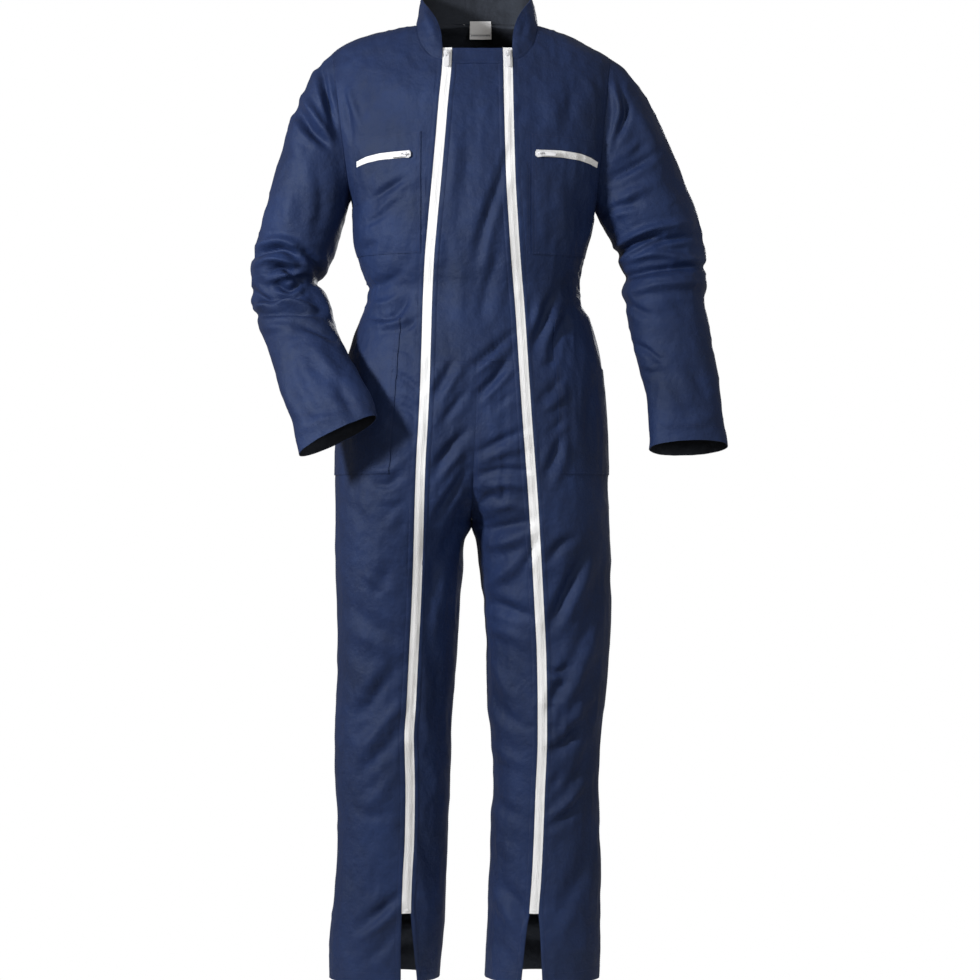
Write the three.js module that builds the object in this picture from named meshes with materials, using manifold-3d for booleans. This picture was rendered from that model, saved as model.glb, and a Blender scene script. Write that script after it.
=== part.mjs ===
// A work boiler suit with two long front zips, filled out as it is worn and hollow inside.
// Millimetres. +Z is up, +X is the wearer's left and +Y is behind the wearer.
// The origin is between the shoulders, level with the point where collar and shoulder seam meet.
import * as THREE from "three";
import Module from "manifold-3d";

const wasm = await Module();
wasm.setup();

// Driving dimensions
const WALL = 1.5; // cloth
const COLLAR_WALL = 2.2; // two layers of cloth
const PATCH_WALL = 1.2; // a sewn-on pocket
const LABEL_WALL = 0.6;
const SEAM = 0.3; // between pieces that are sewn together
const LAP = 0.35; // under a piece that lies on another
const ZIP_HALF = 7.4; // half the white band that shows between the panel edges
const POCKET_ZIP_WALL = 1;
const NECK_FRONT = -66; // front neck seam beside the zips
const BAND_FOOT = -74; // foot of the low collar between the zips
const ZIP_TOP = -46;
const ZIP_FOOT = -1452;
const HEM = -1566;
const WAIST_SEAM_FRONT = -557;
const WAIST_SEAM_BACK = -440;
const CROTCH_Y = 8;
const CROTCH_Z = -818;
const FORK_TOP = -520; // above this height the front and back are one surface across the middle
const BELLY_TURN = 0.04; // how far the cloth turns at the middle above the fork
const BACK_NECK_DEPTH = 50; // from the shoulder line to the back of the neck
const BACK_NECK = 12;
const SLEEVE_ROUND = 2.15;
const SLEEVE_BLEND = 3.5; // stations over which a sleeve leaves the armhole's own shape
const COLLAR_FLARE = 0.3; // share of the neck seam over which the top edge meets the zip's edge
const NECK_LEAN = 40; // how much the cloth above the chest faces up
const CHEST_TOP = -80;
const CLOSED_LEG = -740; // below this height each leg is a tube of its own

// How finely the cloth is divided
const SHOULDER_ROWS = 5;
const ARMHOLE_ROWS = 9;
const CHEST_ROW = -300;
const OUTER_COLS = 8;
const CENTRE_COLS = 6;
const INNER_COLS = 7;
const BACK_ROWS = 5;
const BACK_COLS = 14;
const SEAT_ROWS = 32;
const SEAT_COLS = 11;
const SLEEVE_ROWS = 20;
const SLEEVE_COLS = 20;
const COLLAR_ROWS = 3;
const COLLAR_COLS = 14;
const BEND = 60; // length that one radian of bend counts as when columns are spaced

// Side seams, and how far the cloth stands forward and back, at each height
const BODY = [
  { z: 18, right: -66, left: 66, front: -58, back: 44, round: 2 },
  { z: 0, right: -98, left: 101, front: -62, back: 54, round: 2 },
  { z: -8, right: -148, left: 131, front: -64, back: 60, round: 2 },
  { z: -21, right: -197, left: 161, front: -67.5, back: 69, round: 2 },
  { z: -35, right: -225, left: 186, front: -72.5, back: 77, round: 2 },
  { z: -43, right: -236, left: 203, front: -76, back: 82, round: 2 },
  { z: -53, right: -243, left: 220, front: -80.5, back: 87, round: 2 },
  { z: -70, right: -251, left: 233, front: -87.5, back: 94, round: 2.05 },
  { z: -100, right: -256, left: 241, front: -99.5, back: 105, round: 2.1 },
  { z: -140, right: -250, left: 238, front: -110.5, back: 117, round: 2.15 },
  { z: -180, right: -241, left: 230, front: -118, back: 126, round: 2.2 },
  { z: -220, right: -230, left: 220.5, front: -124, back: 132, round: 2.2 },
  { z: -260, right: -217, left: 210, front: -127, back: 135, round: 2.2 },
  { z: -287, right: -207, left: 202, front: -128, back: 135, round: 2.2 },
  { z: -305, right: -203.5, left: 195.5, front: -129, back: 134, round: 2.2 },
  { z: -351, right: -202, left: 186, front: -126, back: 128, round: 2.25 },
  { z: -384, right: -195, left: 177, front: -121, back: 120, round: 2.25 },
  { z: -417, right: -183, left: 169, front: -115, back: 110, round: 2.25 },
  { z: -434, right: -176, left: 168, front: -112, back: 104, round: 2.25 },
  { z: -460, right: -181, left: 172, front: -113, back: 106, round: 2.25 },
  { z: -483, right: -190, left: 186, front: -116, back: 113, round: 2.25 },
  { z: -516, right: -203, left: 196, front: -120, back: 123, round: 2.25 },
  { z: -549, right: -214, left: 204, front: -124, back: 133, round: 2.25 },
  { z: -600, right: -225, left: 210, front: -128, back: 142, round: 2.25 },
  { z: -660, right: -230, left: 214, front: -129, back: 145, round: 2.25 },
  { z: -714, right: -232, left: 216, front: -127, back: 142, round: 2.2 },
  { z: -770, right: -232, left: 217, front: -124, back: 136, round: 2.2 },
  { z: -818, right: -232, left: 218, front: -120, back: 129, round: 2.15 },
  { z: -879, right: -232, left: 221, front: -112, back: 118, round: 2.1 },
  { z: -945, right: -230, left: 221, front: -104, back: 106, round: 2.1 },
  { z: -1011, right: -229, left: 219, front: -97, back: 96, round: 2.1 },
  { z: -1077, right: -229, left: 215, front: -91, back: 89, round: 2.1 },
  { z: -1110, right: -230, left: 212, front: -88, back: 86, round: 2.1 },
  { z: -1176, right: -233, left: 204, front: -84, back: 82, round: 2.1 },
  { z: -1242, right: -232, left: 201, front: -80, back: 78, round: 2.1 },
  { z: -1308, right: -229, left: 202, front: -77, back: 75, round: 2.1 },
  { z: -1374, right: -230, left: 204, front: -75, back: 72, round: 2.1 },
  { z: -1440, right: -236, left: 204, front: -74, back: 70, round: 2.1 },
  { z: -1506, right: -242, left: 204, front: -74, back: 69, round: 2.1 },
  { z: -1566, right: -243, left: 202, front: -74, back: 68, round: 2.1 },
];

// Where the two thighs part: the fullest line of each leg, its inner line, and the share of
// a half turn that the cloth makes between them, from 0 on the belly to 1 on a closed leg
const LEGS = [
  { z: -520, ridgeRight: -2, ridgeLeft: 2, innerRight: 0, innerLeft: 0, turn: 0.04 },
  { z: -620, ridgeRight: -28, ridgeLeft: 26, innerRight: 0, innerLeft: 0, turn: 0.12 },
  { z: -680, ridgeRight: -62, ridgeLeft: 56, innerRight: -2, innerLeft: -2, turn: 0.28 },
  { z: -740, ridgeRight: -94, ridgeLeft: 82, innerRight: -5, innerLeft: -5, turn: 0.55 },
  { z: -785, ridgeRight: -110, ridgeLeft: 95, innerRight: -7, innerLeft: -7, turn: 0.8 },
  { z: -806, ridgeRight: -116, ridgeLeft: 100, innerRight: -8, innerLeft: -8, turn: 0.95 },
  { z: -818, ridgeRight: -118, ridgeLeft: 102, innerRight: -8, innerLeft: -8, turn: 1 },
  { z: -846, ridgeRight: -123, ridgeLeft: 107, innerRight: -19, innerLeft: -1, turn: 1 },
  { z: -879, ridgeRight: -126, ridgeLeft: 111, innerRight: -22, innerLeft: 3, turn: 1 },
  { z: -945, ridgeRight: -128, ridgeLeft: 115, innerRight: -27, innerLeft: 11, turn: 1 },
  { z: -1011, ridgeRight: -130, ridgeLeft: 117, innerRight: -31, innerLeft: 16, turn: 1 },
  { z: -1110, ridgeRight: -134, ridgeLeft: 115, innerRight: -39, innerLeft: 18, turn: 1 },
  { z: -1176, ridgeRight: -137, ridgeLeft: 114, innerRight: -42, innerLeft: 24, turn: 1 },
  { z: -1242, ridgeRight: -137, ridgeLeft: 114, innerRight: -43, innerLeft: 28, turn: 1 },
  { z: -1308, ridgeRight: -138, ridgeLeft: 113, innerRight: -47, innerLeft: 25, turn: 1 },
  { z: -1374, ridgeRight: -140, ridgeLeft: 113, innerRight: -50, innerLeft: 22, turn: 1 },
  { z: -1440, ridgeRight: -143, ridgeLeft: 112, innerRight: -51, innerLeft: 20, turn: 1 },
  { z: -1506, ridgeRight: -148, ridgeLeft: 110, innerRight: -55, innerLeft: 17, turn: 1 },
  { z: -1566, ridgeRight: -151, ridgeLeft: 108, innerRight: -61, innerLeft: 14, turn: 1 },
];

// The two long zips, and how far the slit below each has spread
const ZIPS = [
  { z: -46, right: -46.8, left: 50.7 },
  { z: -75, right: -47.6, left: 51.4 },
  { z: -135, right: -52.7, left: 52.4 },
  { z: -202, right: -58.1, left: 54 },
  { z: -267, right: -63.8, left: 56 },
  { z: -331, right: -69.9, left: 59.8 },
  { z: -395, right: -75.5, left: 64.2 },
  { z: -458, right: -78.6, left: 69.5 },
  { z: -523, right: -80.2, left: 74 },
  { z: -588, right: -82, left: 78 },
  { z: -652, right: -84.8, left: 82.2 },
  { z: -716, right: -88.6, left: 87 },
  { z: -780, right: -90.9, left: 91.7 },
  { z: -844, right: -92.8, left: 95.6 },
  { z: -941, right: -96.4, left: 101 },
  { z: -1039, right: -101.5, left: 105.8 },
  { z: -1120, right: -105.8, left: 107 },
  { z: -1165, right: -108.7, left: 107 },
  { z: -1250, right: -107.2, left: 103.8 },
  { z: -1332, right: -108.5, left: 100.8 },
  { z: -1397, right: -112, left: 97.6 },
  { z: -1452, right: -113.6, left: 93.6 },
  { z: -1566, right: -109, left: 90 },
];
const SLITS = [
  { z: ZIP_FOOT, right: ZIP_HALF, left: ZIP_HALF },
  { z: -1470, right: 8.6, left: 10 },
  { z: HEM, right: 13.4, left: 17.5 },
];

// Sleeve sections from armhole to cuff: the outer and inner ends as they stand seen from the
// front, then how far forward the section lies, half its depth, and how far its front end is raised
const SLEEVE_RIGHT = [
  { outerX: -236, outerZ: -43, innerX: -207, innerZ: -287, y: 3, depth: 58, rise: 0 },
  { outerX: -265, outerZ: -71, innerX: -210, innerZ: -293, y: 3, depth: 61, rise: 0 },
  { outerX: -288, outerZ: -114, innerX: -213, innerZ: -300, y: 4, depth: 65, rise: 0 },
  { outerX: -308, outerZ: -160, innerX: -216, innerZ: -309, y: 5, depth: 69, rise: 0 },
  { outerX: -323, outerZ: -211, innerX: -219, innerZ: -321, y: 7, depth: 72, rise: 0 },
  { outerX: -338, outerZ: -259, innerX: -223, innerZ: -336, y: 9, depth: 73, rise: 0 },
  { outerX: -351, outerZ: -307, innerX: -229, innerZ: -356, y: 11, depth: 74, rise: 0 },
  { outerX: -362, outerZ: -351, innerX: -236, innerZ: -380, y: 12, depth: 73, rise: 1 },
  { outerX: -370, outerZ: -388, innerX: -247, innerZ: -401, y: 11, depth: 72, rise: 4 },
  { outerX: -373, outerZ: -422, innerX: -261, innerZ: -424, y: 7, depth: 69, rise: 8 },
  { outerX: -369, outerZ: -453, innerX: -249, innerZ: -447, y: 0, depth: 65, rise: 12 },
  { outerX: -362, outerZ: -479, innerX: -241, innerZ: -466, y: -14, depth: 61, rise: 15 },
  { outerX: -349, outerZ: -514, innerX: -232, innerZ: -494, y: -40, depth: 56, rise: 17 },
  { outerX: -332.5, outerZ: -553, innerX: -218, innerZ: -527, y: -72, depth: 50, rise: 17 },
  { outerX: -313.5, outerZ: -598, innerX: -197, innerZ: -564, y: -105, depth: 44, rise: 15 },
  { outerX: -299, outerZ: -639, innerX: -177, innerZ: -597, y: -131, depth: 38, rise: 12 },
  { outerX: -289, outerZ: -674, innerX: -163, innerZ: -624, y: -148, depth: 33, rise: 11 },
  { outerX: -281.5, outerZ: -708, innerX: -157, innerZ: -648, y: -160, depth: 30, rise: 11 },
];
const SLEEVE_LEFT = [
  { outerX: 220, outerZ: -53, innerX: 195.5, innerZ: -305, y: 3, depth: 58, rise: 0 },
  { outerX: 240, outerZ: -67, innerX: 198, innerZ: -309, y: 3, depth: 61, rise: 0 },
  { outerX: 264, outerZ: -94, innerX: 202, innerZ: -315, y: 4, depth: 65, rise: 0 },
  { outerX: 286, outerZ: -127, innerX: 207, innerZ: -324, y: 5, depth: 69, rise: 0 },
  { outerX: 306, outerZ: -167, innerX: 213, innerZ: -334, y: 6, depth: 72, rise: 0 },
  { outerX: 324, outerZ: -207, innerX: 220, innerZ: -346, y: 7, depth: 73, rise: 0 },
  { outerX: 341, outerZ: -252, innerX: 227, innerZ: -361, y: 8, depth: 74, rise: 0 },
  { outerX: 359, outerZ: -297, innerX: 235, innerZ: -380, y: 8, depth: 74, rise: 0 },
  { outerX: 372, outerZ: -341, innerX: 240, innerZ: -399, y: 7, depth: 72, rise: 2 },
  { outerX: 377, outerZ: -384, innerX: 244, innerZ: -421, y: 5, depth: 70, rise: 4 },
  { outerX: 377.5, outerZ: -422, innerX: 243, innerZ: -445, y: 1, depth: 67, rise: 7 },
  { outerX: 376, outerZ: -459, innerX: 247, innerZ: -471, y: -5, depth: 64, rise: 9 },
  { outerX: 384.5, outerZ: -503, innerX: 254, innerZ: -508, y: -14, depth: 59, rise: 11 },
  { outerX: 391.5, outerZ: -552, innerX: 264, innerZ: -553, y: -27, depth: 52, rise: 12 },
  { outerX: 398.5, outerZ: -608, innerX: 277.5, innerZ: -610, y: -44, depth: 45, rise: 12 },
  { outerX: 402.5, outerZ: -650, innerX: 281.5, innerZ: -655, y: -56, depth: 39, rise: 12 },
  { outerX: 408.5, outerZ: -693, innerX: 281, innerZ: -698, y: -66, depth: 35, rise: 12 },
];

// The collar's top edge on one side, from the zip round to the middle of the back,
// with its share of the way along the neck seam
const COLLAR_TOP = [
  { along: 0, x: 54, y: -77.5, z: -46 },
  { along: 0.1, x: 57, y: -71, z: -22 },
  { along: 0.22, x: 65, y: -62, z: 2 },
  { along: 0.36, x: 78, y: -46, z: 23 },
  { along: 0.5, x: 89, y: -22, z: 40 },
  { along: 0.62, x: 92, y: 2, z: 49 },
  { along: 0.75, x: 80, y: 28, z: 53 },
  { along: 0.88, x: 46, y: 46, z: 56 },
  { along: 1, x: 0, y: 52, z: 57 },
];

// The largest folds: a soft trough (below 0) or ridge from one point to another as seen from the
// front, its half width and height, and the way it faces
const FOLDS = [
  { x0: 70, z0: -500, x1: 0, z1: -640, half: 32, rise: -6, face: "front" },
  { x0: -10, z0: -640, x1: -78, z1: -750, half: 32, rise: -6, face: "front" },
  { x0: -15, z0: -790, x1: -75, z1: -920, half: 32, rise: -6, face: "front" },
  { x0: 15, z0: -815, x1: 95, z1: -800, half: 30, rise: -7, face: "front" },
  { x0: 120, z0: -1040, x1: 200, z1: -850, half: 36, rise: -6, face: "front" },
  { x0: 120, z0: -1150, x1: 190, z1: -980, half: 36, rise: 5, face: "front" },
  { x0: -200, z0: -1170, x1: -110, z1: -1080, half: 36, rise: -5, face: "front" },
  { x0: -160, z0: -445, x1: -105, z1: -462, half: 26, rise: -5, face: "front" },
  { x0: 165, z0: -460, x1: 95, z1: -560, half: 32, rise: -5, face: "front" },
  { x0: -150, z0: -820, x1: -30, z1: -690, half: 36, rise: -6, face: "back" },
  { x0: 150, z0: -820, x1: 30, z1: -680, half: 36, rise: -6, face: "back" },
  { x0: -170, z0: -1150, x1: -80, z1: -1090, half: 36, rise: -5, face: "back" },
  { x0: 160, z0: -1150, x1: 60, z1: -1080, half: 36, rise: -5, face: "back" },
];
const SLEEVE_FOLDS = [
  { x0: -370, z0: -395, x1: -280, z1: -398, half: 24, rise: 6, face: "front" },
  { x0: -375, z0: -445, x1: -260, z1: -425, half: 24, rise: -7, face: "front" },
  { x0: -240, z0: -70, x1: -225, z1: -210, half: 26, rise: -6, face: "front" },
  { x0: 260, z0: -400, x1: 370, z1: -355, half: 26, rise: -7, face: "front" },
  { x0: 250, z0: -450, x1: 365, z1: -420, half: 26, rise: 5, face: "front" },
  { x0: 215, z0: -270, x1: 290, z1: -190, half: 26, rise: -6, face: "front" },
  { x0: -365, z0: -420, x1: -260, z1: -430, half: 26, rise: -6, face: "back" },
  { x0: 365, z0: -420, x1: 250, z1: -435, half: 26, rise: -6, face: "back" },
];

// Sewn-on pockets and the zips across them, as outlines seen from the front. What lies behind
// POCKET_BACK is left off, so that an outline can run past the side of the body
const POCKET_BACK = -12;
const CUT_DEPTH = 200; // reaches past the front of the belly
const CHEST_POCKET = {
  right: [[-89, -187], [-200, -196], [-197, -300], [-235, -312], [-235, -382], [-89, -382]],
  left: [[89, -190], [200, -197], [191, -300], [191, -318], [225, -328], [225, -384], [89, -384]],
};
const HIP_POCKET = {
  right: [
    [-121, -486], [-184, -484], [-212, -560], [-260, -600],
    [-260, -740], [-140, -738], [-131, -620],
  ],
  left: [
    [124, -486], [176, -484], [198, -560], [240, -600],
    [240, -740], [137, -738], [130, -620],
  ],
};
const POCKET_ZIP = {
  right: [
    [-106, -218], [-127, -219], [-155, -221], [-175, -224.5], [-193, -231],
    [-193, -240], [-175, -234.5], [-155, -231.5], [-127, -230], [-106, -229],
  ],
  left: [
    [96, -217.3], [135, -217], [168, -220.2], [184, -225], [196, -230.6],
    [194.5, -239.6], [182, -235], [167, -231], [135, -227.9], [96, -228.1],
  ],
};
const POCKET_SLIDER = {
  right: { x: -114.5, z: -223.8, toX: -136, toZ: -224.8 },
  left: { x: 104.5, z: -222.7, toX: 126, toZ: -222.6 },
};

// Zip slider and its pull tab
const SLIDER = { length: 16, topWidth: 12.5, footWidth: 9, height: 2.2, shoulder: 4, nose: 3, corner: 1.5 };
const BRIDGE = { radius: 5, bar: 1.4, width: 2, sunk: 1 };
const PULL = {
  length: 26, width: 7.5, thickness: 1.4, holeWidth: 3.6, holeLength: 5.9, pin: 0.8, round: 3, corner: 1,
};
const SLIDER_Z = -57;
const SLIDER_LIFT = 0.75;
const LABEL = { x: 6.5, y: 46.5, width: 35, top: 17, foot: -5 };
const SIZE_TAB = { x: 6.5, y: 47.5, width: 36, top: 10, foot: -13 };
const LABEL_BOW = 360; // radius that a label bows to, over two

// A smooth function through the rows of a table that keeps to each row's value
// and never swings past it
function through(rows, along, value) {
  const sign = rows[0][along] < rows[rows.length - 1][along] ? 1 : -1;
  const x = rows.map((row) => sign * row[along]);
  const y = rows.map((row) => row[value]);
  const slope = x.slice(1).map((_, i) => (y[i + 1] - y[i]) / (x[i + 1] - x[i]));
  const tangent = y.map((_, i) => {
    if (i === 0) return slope[0];
    if (i === y.length - 1) return slope[i - 1];
    if (slope[i - 1] * slope[i] <= 0) return 0;
    const before = x[i] - x[i - 1];
    const after = x[i + 1] - x[i];
    const w1 = 2 * after + before;
    const w2 = after + 2 * before;
    return (w1 + w2) / (w1 / slope[i - 1] + w2 / slope[i]);
  });
  return (at) => {
    const s = THREE.MathUtils.clamp(sign * at, x[0], x[x.length - 1]);
    let i = 0;
    while (i < x.length - 2 && s > x[i + 1]) i += 1;
    const h = x[i + 1] - x[i];
    const t = (s - x[i]) / h;
    const t2 = t * t;
    const t3 = t2 * t;
    return (
      y[i] * (2 * t3 - 3 * t2 + 1) +
      tangent[i] * h * (t3 - 2 * t2 + t) +
      y[i + 1] * (3 * t2 - 2 * t3) +
      tangent[i + 1] * h * (t3 - t2)
    );
  };
}

const columns = (rows, along, names) =>
  Object.fromEntries(names.map((name) => [name, through(rows, along, name)]));
const body = columns(BODY, "z", ["right", "left", "front", "back", "round"]);
const legs = columns(LEGS, "z", ["ridgeRight", "ridgeLeft", "innerRight", "innerLeft", "turn"]);
const zips = columns(ZIPS, "z", ["right", "left"]);
const slits = columns(SLITS, "z", ["right", "left"]);
const lerp = THREE.MathUtils.lerp;
const HALF_TURN = Math.PI / 2;

// One side's section at a height: its side seam, fullest line, inner line and depth
function section(side, face, z) {
  const right = side === "right";
  const split = z < FORK_TOP;
  return {
    outer: body[side](z),
    ridge: split ? legs[right ? "ridgeRight" : "ridgeLeft"](z) : 0,
    inner: split ? legs[right ? "innerRight" : "innerLeft"](z) : 0,
    turn: split ? legs.turn(z) : BELLY_TURN,
    reach: body[face](z),
    round: body.round(z),
  };
}

// A point of the cloth. share is 0 on the fullest line, 1 at the side seam and -1 at the
// inner line; front and back stop short of each other by half a seam
function clothPoint(side, face, share, z) {
  const s = section(side, face, z);
  const edge = (face === "front" ? -SEAM : SEAM) / 2;
  if (share >= 0) {
    const a = Math.min(share, 1) * HALF_TURN;
    const across = Math.sin(a) ** (2 / s.round);
    const forward = Math.max(Math.cos(a), 0) ** (2 / s.round);
    return new THREE.Vector3(lerp(s.ridge, s.outer, across), lerp(edge, s.reach, forward), z);
  }
  const b = -share * Math.asin(s.turn);
  const inner = s.inner + (side === "right" ? -SEAM : SEAM) / 2;
  const seam = CROTCH_Y + edge;
  return new THREE.Vector3(lerp(s.ridge, inner, Math.sin(b) / s.turn), lerp(seam, s.reach, Math.cos(b)), z);
}

// The share at which the cloth of a side has a given x
function shareAt(side, face, x, z) {
  const s = section(side, face, z);
  const u = (x - s.ridge) / (s.outer - s.ridge);
  if (u >= 0) return Math.asin(Math.min(u, 1) ** (s.round / 2)) / HALF_TURN;
  const v = Math.min((x - s.ridge) / (s.inner - s.ridge), 1);
  return -Math.asin(s.turn * v) / Math.asin(s.turn);
}

function clothAtX(face, x, z) {
  const middle = z < FORK_TOP ? legs.innerRight(z) : 0;
  const side = x < middle ? "right" : "left";
  return clothPoint(side, face, shareAt(side, face, x, z), z);
}

// The armhole lies in a plane through the shoulder point and the armpit
const armholes = Object.fromEntries(
  [["right", SLEEVE_RIGHT[0]], ["left", SLEEVE_LEFT[0]]].map(([side, top]) => {
    const along = new THREE.Vector3(top.innerX - top.outerX, 0, top.innerZ - top.outerZ).normalize();
    const normal = new THREE.Vector3(along.z, 0, -along.x);
    if (normal.x * top.outerX < 0) normal.negate();
    return [side, { ...top, normal }];
  }),
);

// A point of the armhole, from 0 at the shoulder to half a turn at the armpit, moved along the
// plane's normal by half a seam
function armholePoint(side, face, turn, shift) {
  const hole = armholes[side];
  const t = (1 - Math.cos(turn)) / 2;
  const x = lerp(hole.outerX, hole.innerX, t);
  const z = lerp(hole.outerZ, hole.innerZ, t);
  const limit = body[side](z);
  const u = Math.min(Math.abs(x / limit), 1);
  const round = body.round(z);
  const y = body[face](z) * (1 - u ** round) ** (1 / round);
  return new THREE.Vector3(x, y, z).addScaledVector(hole.normal, shift);
}

// Moves a point near the cloth onto it, along the steepest way
function ontoCloth(point, face) {
  const value = (p) => {
    const side = p.x < 0 ? "right" : "left";
    const round = body.round(p.z);
    const across = Math.abs(p.x / body[side](p.z)) ** round;
    const forward = Math.abs(p.y / body[face](p.z)) ** round;
    return (across + forward) ** (1 / round) - 1;
  };
  const p = point.clone();
  const step = 0.5;
  const furthest = 12;
  for (let i = 0; i < 12; i += 1) {
    const v = value(p);
    const gradient = new THREE.Vector3(
      value(p.clone().setX(p.x + step)) - value(p.clone().setX(p.x - step)),
      value(p.clone().setY(p.y + step)) - value(p.clone().setY(p.y - step)),
      value(p.clone().setZ(p.z + step)) - value(p.clone().setZ(p.z - step)),
    ).divideScalar(2 * step);
    const move = THREE.MathUtils.clamp(-v / gradient.length(), -furthest, furthest);
    p.addScaledVector(gradient.normalize(), move);
  }
  return p;
}

// count points along a curve given by a function of 0 to 1, at even steps of its length
// plus bend times the angle it has turned through
function even(count, curve, bend = 0, fine = 240) {
  const points = Array.from({ length: fine + 1 }, (_, i) => curve(i / fine));
  const lengths = [0];
  for (let i = 1; i <= fine; i += 1) {
    const step = points[i].clone().sub(points[i - 1]);
    const before = i > 1 ? points[i - 1].clone().sub(points[i - 2]) : step;
    const turned = step.lengthSq() * before.lengthSq() > 1e-12 ? step.angleTo(before) : 0;
    lengths.push(lengths[i - 1] + step.length() + bend * turned);
  }
  return Array.from({ length: count }, (_, k) => {
    const target = (k / (count - 1)) * lengths[fine];
    let i = 1;
    while (i < fine && lengths[i] < target) i += 1;
    const t = (target - lengths[i - 1]) / (lengths[i] - lengths[i - 1]);
    return points[i - 1].clone().lerp(points[i], t);
  });
}

// The neck seam on one side, from the zip over the shoulder point
function neckFront(side, t) {
  const a = t * HALF_TURN;
  const start = zipEdge(side, NECK_FRONT, 1);
  const shoulder = body[side](0);
  const z = NECK_FRONT * Math.cos(a);
  const x = lerp(start, shoulder, Math.sin(a));
  const limit = body[side](z);
  const u = Math.min(Math.abs(x / limit), 1);
  const y = body.front(z) * (1 - u ** 2) ** 0.5;
  return new THREE.Vector3(x, Math.min(y, -SEAM / 2), z);
}
function neckBack(side, t) {
  const a = t * HALF_TURN;
  const shoulder = body[side](0);
  const y = Math.max(BACK_NECK_DEPTH * Math.sin(a), SEAM / 2);
  return new THREE.Vector3(shoulder * Math.cos(a) ** 0.9, y, BACK_NECK * Math.sin(a));
}

// x of the cloth edge beside a zip; away is 1 towards the side seam and -1 towards the middle
function zipEdge(side, z, away) {
  const outward = side === "right" ? -1 : 1;
  const half = z > ZIP_FOOT ? ZIP_HALF : slits[side](z);
  return zips[side](z) + outward * away * (half + SEAM);
}

// The shoulder seam, at even steps in x
function shoulderPoint(side, t, y) {
  const x = lerp(body[side](0), armholes[side].outerX, t);
  let low = armholes[side].outerZ;
  let high = 0;
  for (let i = 0; i < 30; i += 1) {
    const middle = (low + high) / 2;
    if (Math.abs(body[side](middle)) > Math.abs(x)) low = middle;
    else high = middle;
  }
  return new THREE.Vector3(x, y, (low + high) / 2);
}

const heights = (from, to, rows) => Array.from({ length: rows + 1 }, (_, i) => lerp(from, to, i / rows));
// The heights that every front piece and zip has its points at, so that they share their creases
const CHEST_ROWS = heights(NECK_FRONT, CHEST_ROW, SHOULDER_ROWS + ARMHOLE_ROWS);
const LOWER_ROWS = [
  ...heights(CHEST_ROW, WAIST_SEAM_FRONT, 7).slice(1),
  ...heights(WAIST_SEAM_FRONT, ZIP_FOOT, 24).slice(1),
  ...heights(ZIP_FOOT, HEM, 3).slice(1),
];
const rowsBetween = (top, foot) => [
  top,
  ...[...CHEST_ROWS, ...LOWER_ROWS].filter((z) => z < top - 1 && z > foot + 1),
  foot,
];

// The outer edge of a front or back piece down to the armpit
function outerEdge(side, face) {
  const y = (face === "front" ? -SEAM : SEAM) / 2;
  const seam = Array.from({ length: SHOULDER_ROWS }, (_, i) => shoulderPoint(side, i / SHOULDER_ROWS, y));
  const hole = Array.from({ length: ARMHOLE_ROWS + 1 }, (_, i) => {
    const p = armholePoint(side, face, (i / ARMHOLE_ROWS) * Math.PI, -SEAM / 2);
    p.y = face === "front" ? Math.min(p.y, y) : Math.max(p.y, y);
    return p;
  });
  return [...seam, ...hole];
}

// A patch between four edges, laid onto the cloth
function patchBetween(top, foot, near, far, face) {
  const rows = near.length - 1;
  const cols = top.length - 1;
  return near.map((_, r) =>
    top.map((__, c) => {
      if (r === 0) return top[c].clone();
      if (r === rows) return foot[c].clone();
      if (c === 0) return near[r].clone();
      if (c === cols) return far[r].clone();
      const u = c / cols;
      const v = r / rows;
      const p = new THREE.Vector3()
        .addScaledVector(top[c], 1 - v)
        .addScaledVector(foot[c], v)
        .addScaledVector(near[r], 1 - u)
        .addScaledVector(far[r], u)
        .addScaledVector(top[0], -(1 - u) * (1 - v))
        .addScaledVector(top[cols], -u * (1 - v))
        .addScaledVector(foot[0], -(1 - u) * v)
        .addScaledVector(foot[cols], -u * v);
      return ontoCloth(p, face);
    }),
  );
}

// Normals of a grid of points, pointing away from a point inside each row
function normalsOf(grid, outwards, closed = false) {
  const rows = grid.length;
  const cols = grid[0].length;
  return grid.map((row, r) =>
    row.map((point, c) => {
      const left = closed ? row[(c + cols - 1) % cols] : row[Math.max(c - 1, 0)];
      const right = closed ? row[(c + 1) % cols] : row[Math.min(c + 1, cols - 1)];
      const up = grid[Math.max(r - 1, 0)][c];
      const down = grid[Math.min(r + 1, rows - 1)][c];
      const n = right.clone().sub(left).cross(down.clone().sub(up)).normalize();
      return n.dot(outwards(point, r)) < 0 ? n.negate() : n;
    }),
  );
}

// Keeps a normal within a seam's plane, so that both pieces end on that plane
function inPlane(normal, across) {
  return normal.addScaledVector(across, -normal.dot(across)).normalize();
}

const smooth = (t) => {
  const s = THREE.MathUtils.clamp(t, 0, 1);
  return s * s * (3 - 2 * s);
};

const FOLD_END = 0.35; // share of a fold's height at its ends
const FOLD_SWELL = 2.6;
const FOLD_FACING = 1.6; // how soon a fold fades where the cloth turns away

// Height of the folds at a point of the cloth
function foldHeight(folds, point, normal) {
  return folds.reduce((sum, fold) => {
    const facing = (fold.face === "front" ? -1 : 1) * normal.y;
    if (facing <= 0) return sum;
    const dx = fold.x1 - fold.x0;
    const dz = fold.z1 - fold.z0;
    const along = ((point.x - fold.x0) * dx + (point.z - fold.z0) * dz) / (dx * dx + dz * dz);
    const t = THREE.MathUtils.clamp(along, 0, 1);
    const away = Math.hypot(point.x - fold.x0 - t * dx, point.z - fold.z0 - t * dz);
    const across = Math.exp(-((away / fold.half) ** 2));
    return sum + fold.rise * smooth(facing * FOLD_FACING) * across * (FOLD_END + FOLD_SWELL * t * (1 - t));
  }, 0);
}

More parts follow.
